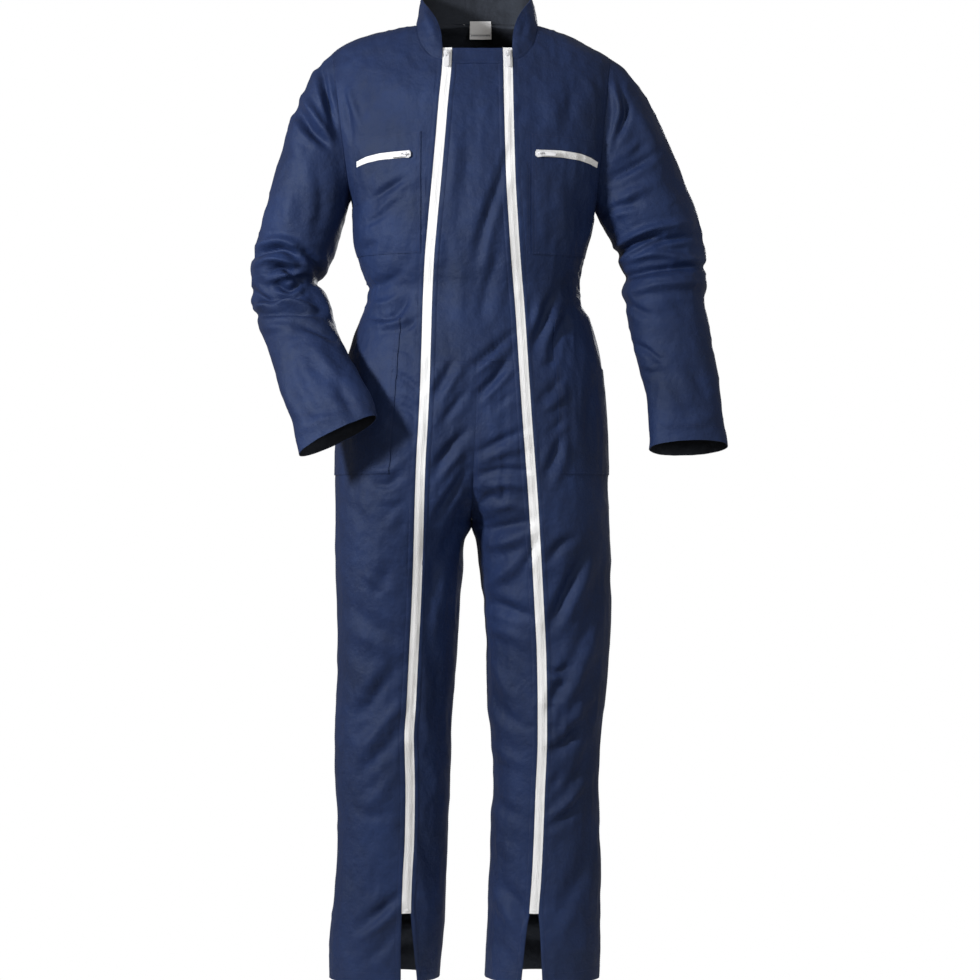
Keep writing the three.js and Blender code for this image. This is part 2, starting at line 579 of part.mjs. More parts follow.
function withFolds(grid, normals, folds) {
  return grid.map((row, r) =>
    row.map((point, c) => {
      const normal = normals[r][c];
      return point.clone().addScaledVector(normal, foldHeight(folds, point, normal));
    }),
  );
}

// A closed solid from triangles, turned to face outwards
function solid(positions, triangles) {
  let volume = 0;
  const at = (i) => new THREE.Vector3(positions[3 * i], positions[3 * i + 1], positions[3 * i + 2]);
  for (let i = 0; i < triangles.length; i += 3) {
    volume += at(triangles[i]).dot(at(triangles[i + 1]).cross(at(triangles[i + 2])));
  }
  const index = volume < 0 ? triangles.reverse() : triangles;
  const geometry = new THREE.BufferGeometry();
  geometry.setAttribute("position", new THREE.Float32BufferAttribute(positions, 3));
  geometry.setIndex(index);
  geometry.computeVertexNormals();
  return geometry;
}

// A cloth wall: the grid moved out along its normals by lift, and the same moved back in by thick
function wall(grid, normals, thick = WALL, lift = 0, closed = false) {
  const rows = grid.length;
  const cols = grid[0].length;
  const positions = [];
  [lift, lift - thick].forEach((offset) =>
    grid.forEach((row, r) =>
      row.forEach((point, c) => {
        positions.push(...point.clone().addScaledVector(normals[r][c], offset).toArray());
      }),
    ),
  );
  const outer = (r, c) => r * cols + (c % cols);
  const inner = (r, c) => rows * cols + outer(r, c);
  const triangles = [];
  const quad = (a, b, c, d) => triangles.push(a, b, c, a, c, d);
  const spans = closed ? cols : cols - 1;
  for (let r = 0; r < rows - 1; r += 1) {
    for (let c = 0; c < spans; c += 1) {
      quad(outer(r, c), outer(r + 1, c), outer(r + 1, c + 1), outer(r, c + 1));
      quad(inner(r, c), inner(r, c + 1), inner(r + 1, c + 1), inner(r + 1, c));
    }
  }
  for (let c = 0; c < spans; c += 1) {
    quad(outer(0, c), outer(0, c + 1), inner(0, c + 1), inner(0, c));
    quad(outer(rows - 1, c + 1), outer(rows - 1, c), inner(rows - 1, c), inner(rows - 1, c + 1));
  }
  if (!closed) {
    const last = cols - 1;
    for (let r = 0; r < rows - 1; r += 1) {
      quad(outer(r + 1, 0), outer(r, 0), inner(r, 0), inner(r + 1, 0));
      quad(outer(r, last), outer(r + 1, last), inner(r + 1, last), inner(r, last));
    }
  }
  return solid(positions, triangles);
}

const NAVY = new THREE.Color(0.045, 0.07, 0.17);
const WHITE = new THREE.Color(0.9, 0.91, 0.93);
const materials = {
  cloth: new THREE.MeshStandardMaterial({ color: NAVY, roughness: 0.85, metalness: 0 }),
  zipTape: new THREE.MeshStandardMaterial({ color: WHITE, roughness: 0.6, metalness: 0 }),
  zipMetal: new THREE.MeshStandardMaterial({ color: WHITE, roughness: 0.35, metalness: 0.1 }),
  label: new THREE.MeshStandardMaterial({ color: WHITE, roughness: 0.7, metalness: 0 }),
};

const suit = new THREE.Group();
function add(name, geometry, material) {
  const mesh = new THREE.Mesh(geometry, material);
  mesh.name = name;
  suit.add(mesh);
  return mesh;
}

const X_AXIS = new THREE.Vector3(1, 0, 0);
const Y_AXIS = new THREE.Vector3(0, 1, 0);
const Z_AXIS = new THREE.Vector3(0, 0, 1);

// Outwards on the trunk and the legs: away from the middle of the section
function awayFromMiddle(side) {
  return (point) => {
    const middle = side && point.z < CLOSED_LEG ? section(side, "front", point.z).ridge : 0;
    return new THREE.Vector3(point.x - middle, point.y, point.z > CHEST_TOP ? NECK_LEAN : 0);
  };
}

// The points and normals of the front piece from a zip to the side seam, from neck to hem
function outerFront(side) {
  const far = outerEdge(side, "front");
  const top = even(OUTER_COLS + 1, (t) => neckFront(side, t));
  const armpit = armholes[side].innerZ;
  const near = CHEST_ROWS.map((z) => clothAtX("front", zipEdge(side, z, 1), z));
  const acrossAt = (z, farZ) =>
    Array.from({ length: OUTER_COLS + 1 }, (_, c) => {
      const t = c / OUTER_COLS;
      const from = shareAt(side, "front", zipEdge(side, z, 1), z);
      return clothPoint(side, "front", lerp(from, 1, t), lerp(z, farZ, t));
    });
  const foot = acrossAt(CHEST_ROW, armpit);
  foot[OUTER_COLS] = far[far.length - 1];
  foot[0] = near[near.length - 1];
  top[0] = near[0];
  const upper = patchBetween(top, foot, near, far, "front");
  const lower = LOWER_ROWS.map((z) => {
    const t = (z - CHEST_ROW) / (HEM - CHEST_ROW);
    return acrossAt(z, lerp(armpit, HEM, t));
  });
  const grid = [...upper, ...lower];
  const normals = normalsOf(grid, awayFromMiddle(side));
  normals.forEach((row, r) => {
    const seam = r > SHOULDER_ROWS && r < far.length - 1 ? armholes[side].normal : Y_AXIS;
    inPlane(row[OUTER_COLS], seam);
    inPlane(row[0], X_AXIS);
  });
  return { grid: withFolds(grid, normals, FOLDS), normals };
}

// The front piece between the zips, from the low collar to the front waist seam
function centreFront() {
  const grid = rowsBetween(BAND_FOOT - SEAM, WAIST_SEAM_FRONT + SEAM / 2).map((z) =>
    Array.from({ length: CENTRE_COLS + 1 }, (_, c) =>
      clothAtX("front", lerp(zipEdge("right", z, -1), zipEdge("left", z, -1), c / CENTRE_COLS), z),
    ),
  );
  const normals = normalsOf(grid, awayFromMiddle());
  normals[normals.length - 1].forEach((n) => inPlane(n, Z_AXIS));
  normals.forEach((row) => [0, CENTRE_COLS].forEach((c) => inPlane(row[c], X_AXIS)));
  return wall(withFolds(grid, normals, FOLDS), normals);
}

// The front piece of a leg between its zip and the inside of the leg
function innerFront(side) {
  const grid = rowsBetween(WAIST_SEAM_FRONT - SEAM / 2, HEM).map((z) => {
    const from = shareAt(side, "front", zipEdge(side, z, -1), z);
    return even(INNER_COLS + 1, (t) => clothPoint(side, "front", lerp(from, -1, t), z), BEND);
  });
  const normals = normalsOf(grid, awayFromMiddle(side));
  normals[0].forEach((n) => inPlane(n, Z_AXIS));
  normals.forEach((row, r) => {
    inPlane(row[0], X_AXIS);
    inPlane(row[INNER_COLS], grid[r][0].z > CROTCH_Z ? X_AXIS : Y_AXIS);
  });
  return wall(withFolds(grid, normals, FOLDS), normals);
}

// The whole upper back, from the neck to the waist seam
function upperBack() {
  const far = outerEdge("left", "back");
  const near = outerEdge("right", "back");
  const half = BACK_COLS / 2;
  const nearTop = even(half + 1, (t) => neckBack("right", t));
  const farTop = even(half + 1, (t) => neckBack("left", t)).reverse();
  const top = [...nearTop, ...farTop.slice(1)];
  const acrossAt = (rightZ, leftZ) =>
    Array.from({ length: BACK_COLS + 1 }, (_, c) => {
      const t = (c - half) / half;
      const z = lerp(rightZ, leftZ, c / BACK_COLS);
      return clothPoint(t < 0 ? "right" : "left", "back", Math.abs(t), z);
    });
  const foot = acrossAt(armholes.right.innerZ, armholes.left.innerZ);
  foot[0] = near[near.length - 1];
  foot[BACK_COLS] = far[far.length - 1];
  const upper = patchBetween(top, foot, near, far, "back");
  const lower = Array.from({ length: BACK_ROWS }, (_, i) => {
    const t = (i + 1) / BACK_ROWS;
    const end = WAIST_SEAM_BACK + SEAM / 2;
    return acrossAt(lerp(armholes.right.innerZ, end, t), lerp(armholes.left.innerZ, end, t));
  });
  const grid = [...upper, ...lower];
  const normals = normalsOf(grid, awayFromMiddle());
  normals.forEach((row, r) => {
    const onHole = r > SHOULDER_ROWS && r < far.length - 1;
    inPlane(row[0], onHole ? armholes.right.normal : Y_AXIS);
    inPlane(row[BACK_COLS], onHole ? armholes.left.normal : Y_AXIS);
  });
  normals[normals.length - 1].forEach((n) => inPlane(n, Z_AXIS));
  return wall(withFolds(grid, normals, FOLDS), normals);
}

// The back of a leg, from the waist seam over the seat to the hem
function legBack(side) {
  const seatTop = WAIST_SEAM_BACK - SEAM / 2;
  const grid = heights(seatTop, HEM, SEAT_ROWS).map((z) => {
    const innermost = z < FORK_TOP ? -1 : 0;
    const row = even(SEAT_COLS + 1, (t) => clothPoint(side, "back", lerp(1, innermost, t), z), BEND);
    if (z >= FORK_TOP) row[SEAT_COLS].x = ((side === "right" ? -1 : 1) * SEAM) / 2;
    return row;
  });
  const normals = normalsOf(grid, awayFromMiddle(side));
  normals[0].forEach((n) => inPlane(n, Z_AXIS));
  normals.forEach((row, r) => {
    inPlane(row[0], Y_AXIS);
    inPlane(row[SEAT_COLS], grid[r][0].z > CROTCH_Z ? X_AXIS : Y_AXIS);
  });
  return wall(withFolds(grid, normals, FOLDS), normals);
}

// A sleeve: its sections from the armhole to the cuff. The first rings take the armhole's own shape
function sleeve(side, table) {
  const rows = table.map((row, i) => ({ ...row, i }));
  const names = ["outerX", "outerZ", "innerX", "innerZ", "y", "depth", "rise"];
  const at = columns(rows, "i", names);
  const last = table.length - 1;
  const ring = (s, turn) => {
    const c = Math.cos(turn);
    const d = Math.sin(turn);
    const across = Math.sign(c) * Math.abs(c) ** (2 / SLEEVE_ROUND);
    const forward = Math.sign(d) * Math.abs(d) ** (2 / SLEEVE_ROUND);
    return new THREE.Vector3(
      lerp(at.innerX(s), at.outerX(s), (1 + across) / 2),
      at.y(s) - at.depth(s) * forward,
      lerp(at.innerZ(s), at.outerZ(s), (1 + across) / 2) + at.rise(s) * forward,
    );
  };
  const grid = Array.from({ length: SLEEVE_ROWS + 1 }, (_, r) => {
    const s = (r / SLEEVE_ROWS) * last;
    return Array.from({ length: SLEEVE_COLS }, (__, c) => {
      const turn = (c / SLEEVE_COLS) * 2 * Math.PI;
      const face = turn <= Math.PI ? "front" : "back";
      const hole = armholePoint(side, face, turn <= Math.PI ? turn : 2 * Math.PI - turn, SEAM / 2);
      const own = 1 - smooth(s / SLEEVE_BLEND);
      return ring(s, turn).addScaledVector(hole.sub(ring(0, turn)), own);
    });
  });
  const middles = grid.map((row) =>
    row.reduce((sum, p) => sum.add(p), new THREE.Vector3()).divideScalar(row.length),
  );
  const normals = normalsOf(grid, (point, r) => point.clone().sub(middles[r]), true);
  normals[0].forEach((n) => inPlane(n, armholes[side].normal));
  return wall(withFolds(grid, normals, SLEEVE_FOLDS), normals, WALL, 0, true);
}

// The standing collar, from one zip round the back of the neck to the other
function collar() {
  const sideColumns = (side) => {
    const sign = side === "right" ? -1 : 1;
    const top = columns(COLLAR_TOP, "along", ["x", "y", "z"]);
    const corner = Math.abs(zipEdge(side, ZIP_TOP, 1)) - COLLAR_TOP[0].x;
    const seam = (t) => (t < 0.5 ? neckFront(side, t * 2) : neckBack(side, t * 2 - 1));
    const bases = even(COLLAR_COLS + 1, seam);
    return bases.map((base, i) => {
      const t = i / COLLAR_COLS;
      const beside = corner * Math.max(1 - t / COLLAR_FLARE, 0);
      const tip = new THREE.Vector3(sign * (top.x(t) + beside), top.y(t), top.z(t));
      const up = tip.clone().sub(base).normalize();
      return [base.clone().addScaledVector(up, 2 * SEAM), tip];
    });
  };
  const right = sideColumns("right");
  const left = sideColumns("left").reverse();
  const stations = [...right, ...left.slice(1)];
  const grid = Array.from({ length: COLLAR_ROWS + 1 }, (_, r) =>
    stations.map(([base, tip]) => base.clone().lerp(tip, 1 - r / COLLAR_ROWS)),
  );
  const normals = normalsOf(grid, (point) => new THREE.Vector3(point.x, point.y + 10, 0));
  normals.forEach((row) => [0, stations.length - 1].forEach((c) => inPlane(row[c], X_AXIS)));
  return wall(grid, normals, COLLAR_WALL);
}

// The low collar between the zips
function frontBand() {
  const grid = heights(ZIP_TOP - 1, BAND_FOOT, 2).map((z) =>
    Array.from({ length: CENTRE_COLS + 1 }, (_, c) =>
      clothAtX("front", lerp(zipEdge("right", z, -1), zipEdge("left", z, -1), c / CENTRE_COLS), z),
    ),
  );
  return wall(grid, normalsOf(grid, awayFromMiddle()), COLLAR_WALL);
}

// The white band of a long zip, flush between the panel edges
function longZip(side) {
  const grid = rowsBetween(ZIP_TOP, ZIP_FOOT).map((z) =>
    [-1, 1].map((edge) => clothAtX("front", zips[side](z) + edge * ZIP_HALF, z)),
  );
  const normals = normalsOf(grid, awayFromMiddle());
  normals.forEach((row) => row.forEach((n) => inPlane(n, X_AXIS)));
  return wall(withFolds(grid, normals, FOLDS), normals);
}

// A layer that lies on an outer front, made from its points and cut to an outline
function layer({ grid, normals }, outline, thick, lift) {
  const sheet = solidOf(wall(grid, normals, thick, lift + thick));
  const shape = new THREE.Shape(outline.map(([x, z]) => new THREE.Vector2(x, z)));
  const cutter = new THREE.ExtrudeGeometry(shape, { depth: CUT_DEPTH, bevelEnabled: false });
  cutter.rotateX(HALF_TURN);
  cutter.translate(0, POCKET_BACK, 0);
  return geometryOf(sheet.intersect(solidOf(cutter)));
}

// A frame on the cloth: a place, the way out and the way along a zip
function frameAt(point, along, lift) {
  const reach = SLIDER.length / 2;
  const near = (way, by) => ontoCloth(point.clone().addScaledVector(way, by), "front");
  const here = near(along, 0);
  const ahead = near(along, reach);
  const behind = near(along, -reach);
  const beside = near(along.clone().cross(Y_AXIS), reach);
  const v = ahead.sub(behind).normalize();
  const n = beside.sub(here).cross(v).normalize();
  if (n.y > 0) n.negate();
  const u = v.clone().cross(n).normalize();
  const place = here.clone().addScaledVector(n, lift + foldHeight(FOLDS, here, n));
  return new THREE.Matrix4().makeBasis(u, v, n).setPosition(place);
}

function solidOf(geometry) {
  const flat = geometry.index ? geometry.toNonIndexed() : geometry;
  const position = flat.getAttribute("position");
  const seen = new Map();
  const vertices = [];
  const triangles = [];
  for (let i = 0; i < position.count; i += 1) {
    const p = [position.getX(i), position.getY(i), position.getZ(i)];
    const key = p.map((v) => Math.round(v * 1e4)).join();
    if (!seen.has(key)) {
      seen.set(key, vertices.length / 3);
      vertices.push(...p);
    }
    triangles.push(seen.get(key));
  }
  const kept = [];
  for (let i = 0; i < triangles.length; i += 3) {
    const [a, b, c] = triangles.slice(i, i + 3);
    if (a !== b && b !== c && a !== c) kept.push(a, b, c);
  }
  const mesh = new wasm.Mesh({
    numProp: 3,
    vertProperties: new Float32Array(vertices),
    triVerts: new Uint32Array(kept),
  });
  return new wasm.Manifold(mesh);
}

function geometryOf(manifold) {
  const mesh = manifold.getMesh();
  const geometry = new THREE.BufferGeometry();
  geometry.setAttribute("position", new THREE.BufferAttribute(new Float32Array(mesh.vertProperties), 3));
  geometry.setIndex(new THREE.BufferAttribute(new Uint32Array(mesh.triVerts), 1));
  geometry.computeVertexNormals();
  return geometry;
}

// The slider's body with the bridge that carries the pull, lying on z = 0 with v along +Y
function sliderGeometry() {
  const half = SLIDER.length / 2;
  const { shoulder, nose, corner } = SLIDER;
  const top = SLIDER.topWidth / 2;
  const foot = SLIDER.footWidth / 2;
  const shape = new THREE.Shape([
    new THREE.Vector2(-top, half - shoulder),
    new THREE.Vector2(-foot, -half + corner),
    new THREE.Vector2(-foot + corner, -half),
    new THREE.Vector2(foot - corner, -half),
    new THREE.Vector2(foot, -half + corner),
    new THREE.Vector2(top, half - shoulder),
    new THREE.Vector2(top - nose, half),
    new THREE.Vector2(-top + nose, half),
  ]);
  const plate = new THREE.ExtrudeGeometry(shape, { depth: SLIDER.height, bevelEnabled: false });
  const arch = new THREE.Shape();
  const outer = BRIDGE.radius;
  const inner = BRIDGE.radius - BRIDGE.bar;
  arch.absarc(0, 0, outer, 0, Math.PI, false);
  arch.lineTo(-outer, -BRIDGE.sunk);
  arch.lineTo(-inner, -BRIDGE.sunk);
  arch.lineTo(-inner, 0);
  arch.absarc(0, 0, inner, Math.PI, 0, true);
  arch.lineTo(inner, -BRIDGE.sunk);
  arch.lineTo(outer, -BRIDGE.sunk);
  const bridge = new THREE.ExtrudeGeometry(arch, {
    depth: BRIDGE.width,
    bevelEnabled: false,
    curveSegments: 6,
  });
  bridge.translate(0, 0, -BRIDGE.width / 2);
  bridge.rotateX(HALF_TURN);
  bridge.rotateZ(HALF_TURN);
  bridge.translate(0, 0, SLIDER.height);
  return geometryOf(solidOf(plate).add(solidOf(bridge)));
}

// The pull tab, flat on z = 0, hanging along -Y from its pin at the origin
function pullGeometry() {
  const half = PULL.width / 2;
  const { round, corner } = PULL;
  const foot = -PULL.length + round;
  const shape = new THREE.Shape();
  shape.moveTo(-half + corner, PULL.pin);
  shape.lineTo(-half, 0);
  shape.lineTo(-half, foot);
  shape.absarc(-half + round, foot, round, Math.PI, 1.5 * Math.PI, false);
  shape.absarc(half - round, foot, round, 1.5 * Math.PI, 2 * Math.PI, false);
  shape.lineTo(half, 0);
  shape.lineTo(half - corner, PULL.pin);
  const hole = new THREE.Path();
  hole.moveTo(-PULL.holeWidth / 2, -PULL.pin);
  hole.lineTo(PULL.holeWidth / 2, -PULL.pin);
  hole.lineTo(PULL.holeWidth / 2, -PULL.pin - PULL.holeLength);
  hole.lineTo(-PULL.holeWidth / 2, -PULL.pin - PULL.holeLength);
  shape.holes.push(hole);
  const plate = new THREE.ExtrudeGeometry(shape, {
    depth: PULL.thickness,
    bevelEnabled: false,
    curveSegments: 3,
  });
  plate.translate(0, 0, -PULL.thickness / 2);
  return plate;
}

const PIN_HEIGHT = SLIDER.height + LAP + PULL.pin;

function addSlider(name, point, along, lift) {
  const frame = frameAt(point, along, lift);
  add(`slider_${name}`, sliderGeometry(), materials.zipMetal).applyMatrix4(frame);
  const pin = frame.clone().multiply(new THREE.Matrix4().makeTranslation(0, 0, PIN_HEIGHT));
  add(`pull_${name}`, pullGeometry(), materials.zipMetal).applyMatrix4(pin);
}

// A label that hangs inside the back of the neck
function neckLabel(label) {
  const box = new THREE.BoxGeometry(label.width, LABEL_WALL, label.top - label.foot, 6, 1, 2);
  box.translate(label.x, label.y, (label.top + label.foot) / 2);
  const position = box.getAttribute("position");
  for (let i = 0; i < position.count; i += 1) {
    const away = position.getX(i) - label.x;
    position.setY(i, position.getY(i) - away ** 2 / LABEL_BOW);
  }
  return box;
}

["right", "left"].forEach((side) => {
  const front = outerFront(side);
  const onPocket = 2 * LAP + PATCH_WALL;
  add(`front_${side}`, wall(front.grid, front.normals), materials.cloth);
  add(`leg_front_${side}`, innerFront(side), materials.cloth);
  add(`leg_back_${side}`, legBack(side), materials.cloth);
  add(`sleeve_${side}`, sleeve(side, side === "right" ? SLEEVE_RIGHT : SLEEVE_LEFT), materials.cloth);
  add(`chest_pocket_${side}`, layer(front, CHEST_POCKET[side], PATCH_WALL, LAP), materials.cloth);
  add(`hip_pocket_${side}`, layer(front, HIP_POCKET[side], PATCH_WALL, LAP), materials.cloth);
  add(`pocket_zip_${side}`, layer(front, POCKET_ZIP[side], POCKET_ZIP_WALL, onPocket), materials.zipTape);
  add(`zip_${side}`, longZip(side), materials.zipTape);

  const top = new THREE.Vector3(zips[side](SLIDER_Z), body.front(SLIDER_Z), SLIDER_Z);
  addSlider(`zip_${side}`, top, Z_AXIS, SLIDER_LIFT);
  const start = POCKET_SLIDER[side];
  const inwards = new THREE.Vector3(start.x - start.toX, 0, start.z - start.toZ).normalize();
  const place = new THREE.Vector3(start.x, body.front(start.z), start.z);
  addSlider(`pocket_${side}`, place, inwards, onPocket + POCKET_ZIP_WALL + LAP);
});
add("front_centre", centreFront(), materials.cloth);
add("back_upper", upperBack(), materials.cloth);
add("collar", collar(), materials.cloth);
add("front_band", frontBand(), materials.cloth);
add("neck_label", neckLabel(LABEL), materials.label);
add("size_tab", neckLabel(SIZE_TAB), materials.label);

export default suit;
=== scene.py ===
# A navy work boiler suit with two long zips, dressed over its fixed frame.
# Cloth is worked out in millimetres, seen as +X the wearer's left, +Y behind and +Z up.
import math

import bmesh
import bpy
import numpy as np
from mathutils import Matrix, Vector
from mathutils.bvhtree import BVHTree


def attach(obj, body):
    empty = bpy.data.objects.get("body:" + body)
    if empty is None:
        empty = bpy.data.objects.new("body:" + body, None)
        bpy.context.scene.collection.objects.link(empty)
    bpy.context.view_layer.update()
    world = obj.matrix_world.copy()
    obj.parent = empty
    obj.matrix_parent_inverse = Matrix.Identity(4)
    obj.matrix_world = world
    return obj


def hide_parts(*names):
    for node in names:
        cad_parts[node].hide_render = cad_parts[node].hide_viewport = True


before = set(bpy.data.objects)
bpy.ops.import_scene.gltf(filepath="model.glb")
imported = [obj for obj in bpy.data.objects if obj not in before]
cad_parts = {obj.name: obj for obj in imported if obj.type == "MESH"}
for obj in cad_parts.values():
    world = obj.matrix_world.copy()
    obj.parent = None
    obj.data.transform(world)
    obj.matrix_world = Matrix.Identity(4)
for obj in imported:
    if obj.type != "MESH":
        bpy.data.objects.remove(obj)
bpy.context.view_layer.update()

WALL = 1.5
COLLAR_WALL = 2.2
PATCH_WALL = 1.2
LABEL_WALL = 0.6
SEAM = 0.3
LAP = 0.35
ZIP_HALF = 7.4
NECK_FRONT = -66
BAND_FOOT = -74
ZIP_TOP = -46
ZIP_FOOT = -1452
HEM = -1566
WAIST_SEAM_FRONT = -557
WAIST_SEAM_BACK = -440
CROTCH_Y = 8
CROTCH_Z = -818
FORK_TOP = -520
BELLY_TURN = 0.04
BACK_NECK_DEPTH = 50
BACK_NECK = 12
SLEEVE_ROUND = 2.15
SLEEVE_BLEND = 3.5
COLLAR_FLARE = 0.3
NECK_LEAN = 40
CHEST_TOP = -80
CLOSED_LEG = -740
CHEST_ROW = -300
BEND = 20
HALF_TURN = math.pi / 2
POCKET_BACK = -12
CAMERA_X = 22.3
CAMERA_AWAY = 4500
CAMERA_Z = -764
VIEW_SCALE = 2727.3
VIEW_MIDDLE = 490


def table(names, rows):
    return dict(zip(names.split(), np.array(rows, float).T))


BODY = table("z right left front back round", [
    (18, -66, 66, -58, 44, 2), (0, -98, 101, -62, 54, 2), (-8, -148, 131, -64, 60, 2),
    (-21, -197, 161, -67.5, 69, 2), (-35, -225, 186, -72.5, 77, 2), (-43, -236, 203, -76, 82, 2),
    (-53, -243, 220, -80.5, 87, 2), (-70, -251, 233, -87.5, 94, 2.05), (-100, -256, 241, -99.5, 105, 2.1),
    (-140, -250, 238, -110.5, 117, 2.15), (-180, -241, 230, -118, 126, 2.2),
    (-220, -230, 220.5, -124, 132, 2.2), (-260, -217, 210, -127, 135, 2.2),
    (-287, -207, 202, -128, 135, 2.2), (-305, -203.5, 195.5, -129, 134, 2.2),
    (-351, -202, 186, -126, 128, 2.25), (-384, -195, 177, -121, 120, 2.25),
    (-417, -183, 169, -115, 110, 2.25), (-434, -176, 168, -112, 104, 2.25),
    (-460, -181, 172, -113, 106, 2.25), (-483, -190, 186, -116, 113, 2.25),
    (-516, -203, 196, -120, 123, 2.25), (-549, -214, 204, -124, 133, 2.25),
    (-600, -225, 210, -128, 142, 2.25), (-660, -230, 214, -129, 145, 2.25),
    (-714, -232, 216, -127, 142, 2.2), (-770, -232, 217, -124, 136, 2.2),
    (-818, -232, 218, -120, 129, 2.15), (-879, -232, 221, -112, 118, 2.1),
    (-945, -230, 221, -104, 106, 2.1), (-1011, -229, 219, -97, 96, 2.1), (-1077, -229, 215, -91, 89, 2.1),
    (-1110, -230, 212, -88, 86, 2.1), (-1176, -233, 204, -84, 82, 2.1), (-1242, -232, 201, -80, 78, 2.1),
    (-1308, -229, 202, -77, 75, 2.1), (-1374, -230, 204, -75, 72, 2.1), (-1440, -236, 204, -74, 70, 2.1),
    (-1506, -242, 204, -74, 69, 2.1), (-1566, -243, 202, -74, 68, 2.1),
])
LEGS = table("z ridgeRight ridgeLeft innerRight innerLeft turn", [
    (-520, -2, 2, 0, 0, 0.04), (-620, -28, 26, 0, 0, 0.12), (-680, -62, 56, -2, -2, 0.28),
    (-740, -94, 82, -5, -5, 0.55), (-785, -110, 95, -7, -7, 0.8), (-806, -116, 100, -8, -8, 0.95),
    (-818, -118, 102, -8, -8, 1), (-846, -123, 107, -19, -1, 1), (-879, -126, 111, -22, 3, 1),
    (-945, -128, 115, -27, 11, 1), (-1011, -130, 117, -31, 16, 1), (-1110, -134, 115, -39, 18, 1),
    (-1176, -137, 114, -42, 24, 1), (-1242, -137, 114, -43, 28, 1), (-1308, -138, 113, -47, 25, 1),
    (-1374, -140, 113, -50, 22, 1), (-1440, -143, 112, -51, 20, 1), (-1506, -148, 110, -55, 17, 1),
    (-1566, -151, 108, -61, 14, 1),
])
ZIPS = table("z right left", [
    (-46, -46.8, 50.7), (-75, -47.6, 51.4), (-135, -52.7, 52.4), (-202, -58.1, 54), (-267, -63.8, 56),
    (-331, -69.9, 59.8), (-395, -75.5, 64.2), (-458, -78.6, 69.5), (-523, -80.2, 74), (-588, -82, 78),
    (-652, -84.8, 82.2), (-716, -88.6, 87), (-780, -90.9, 91.7), (-844, -92.8, 95.6), (-941, -96.4, 101),
    (-1039, -101.5, 105.8), (-1120, -105.8, 107), (-1165, -108.7, 107), (-1250, -107.2, 103.8),
    (-1332, -108.5, 100.8), (-1397, -112, 97.6), (-1452, -113.6, 93.6), (-1566, -109, 90),
])
SLEEVE_RIGHT = table("outerX outerZ innerX innerZ y depth rise", [
    (-236, -43, -207, -287, 3, 58, 0), (-265, -71, -210, -293, 3, 61, 0),
    (-288, -114, -213, -300, 4, 65, 0), (-308, -160, -216, -309, 5, 69, 0),
    (-323, -211, -219, -321, 7, 72, 0), (-338, -259, -223, -336, 9, 73, 0),
    (-351, -307, -229, -356, 11, 74, 0), (-362, -351, -236, -380, 12, 73, 1),
    (-370, -388, -247, -401, 11, 72, 4), (-373, -422, -261, -424, 7, 69, 8),
    (-369, -453, -249, -447, 0, 65, 12), (-362, -479, -241, -466, -14, 61, 15),
    (-349, -514, -232, -494, -40, 56, 17), (-332.5, -553, -218, -527, -72, 50, 17),
    (-313.5, -598, -197, -564, -105, 44, 15), (-299, -639, -177, -597, -131, 38, 12),
    (-289, -674, -163, -624, -148, 33, 11), (-281.5, -708, -157, -648, -160, 30, 11),
])
SLEEVE_LEFT = table("outerX outerZ innerX innerZ y depth rise", [
    (220, -53, 195.5, -305, 3, 58, 0), (240, -67, 198, -309, 3, 61, 0), (264, -94, 202, -315, 4, 65, 0),
    (286, -127, 207, -324, 5, 69, 0), (306, -167, 213, -334, 6, 72, 0), (324, -207, 220, -346, 7, 73, 0),
    (341, -252, 227, -361, 8, 74, 0), (359, -297, 235, -380, 8, 74, 0), (372, -341, 240, -399, 7, 72, 2),
    (377, -384, 244, -421, 5, 70, 4), (377.5, -422, 243, -445, 1, 67, 7),
    (376, -459, 247, -471, -5, 64, 9), (384.5, -503, 254, -508, -14, 59, 11),
    (391.5, -552, 264, -553, -27, 52, 12), (398.5, -608, 277.5, -610, -44, 45, 12),
    (402.5, -650, 281.5, -655, -56, 39, 12), (408.5, -693, 281, -698, -66, 35, 12),
])
COLLAR_TOP = table("along x y z", [
    (0, 54, -77.5, -46), (0.1, 57, -71, -22), (0.22, 65, -62, 2), (0.36, 78, -46, 23), (0.5, 89, -22, 40),
    (0.62, 92, 2, 49), (0.75, 80, 28, 53), (0.88, 46, 46, 56), (1, 0, 52, 57),
])
# The frame's own largest folds: the x and z of both ends, half width, rise and face
FOLDS = [
    (70, -500, 0, -640, 32, -6, "front"), (-10, -640, -78, -750, 32, -6, "front"),
    (-15, -790, -75, -920, 32, -6, "front"), (15, -815, 95, -800, 30, -7, "front"),
    (120, -1040, 200, -850, 36, -6, "front"), (120, -1150, 190, -980, 36, 5, "front"),
    (-200, -1170, -110, -1080, 36, -5, "front"), (-160, -445, -105, -462, 26, -5, "front"),
    (165, -460, 95, -560, 32, -5, "front"), (-150, -820, -30, -690, 36, -6, "back"),
    (150, -820, 30, -680, 36, -6, "back"), (-170, -1150, -80, -1090, 36, -5, "back"),
    (160, -1150, 60, -1080, 36, -5, "back"),
]
SLEEVE_FOLDS = [
    (-370, -395, -280, -398, 24, 6, "front"), (-375, -445, -260, -425, 24, -7, "front"),
    (-240, -70, -225, -210, 26, -6, "front"), (260, -400, 370, -355, 26, -7, "front"),
    (250, -450, 365, -420, 26, 5, "front"), (215, -270, 290, -190, 26, -6, "front"),
    (-365, -420, -260, -430, 26, -6, "back"), (365, -420, 250, -435, 26, -6, "back"),
]
SLITS = table("z right left", [(ZIP_FOOT, ZIP_HALF, ZIP_HALF), (-1470, 8.6, 10), (HEM, 13.4, 17.5)])


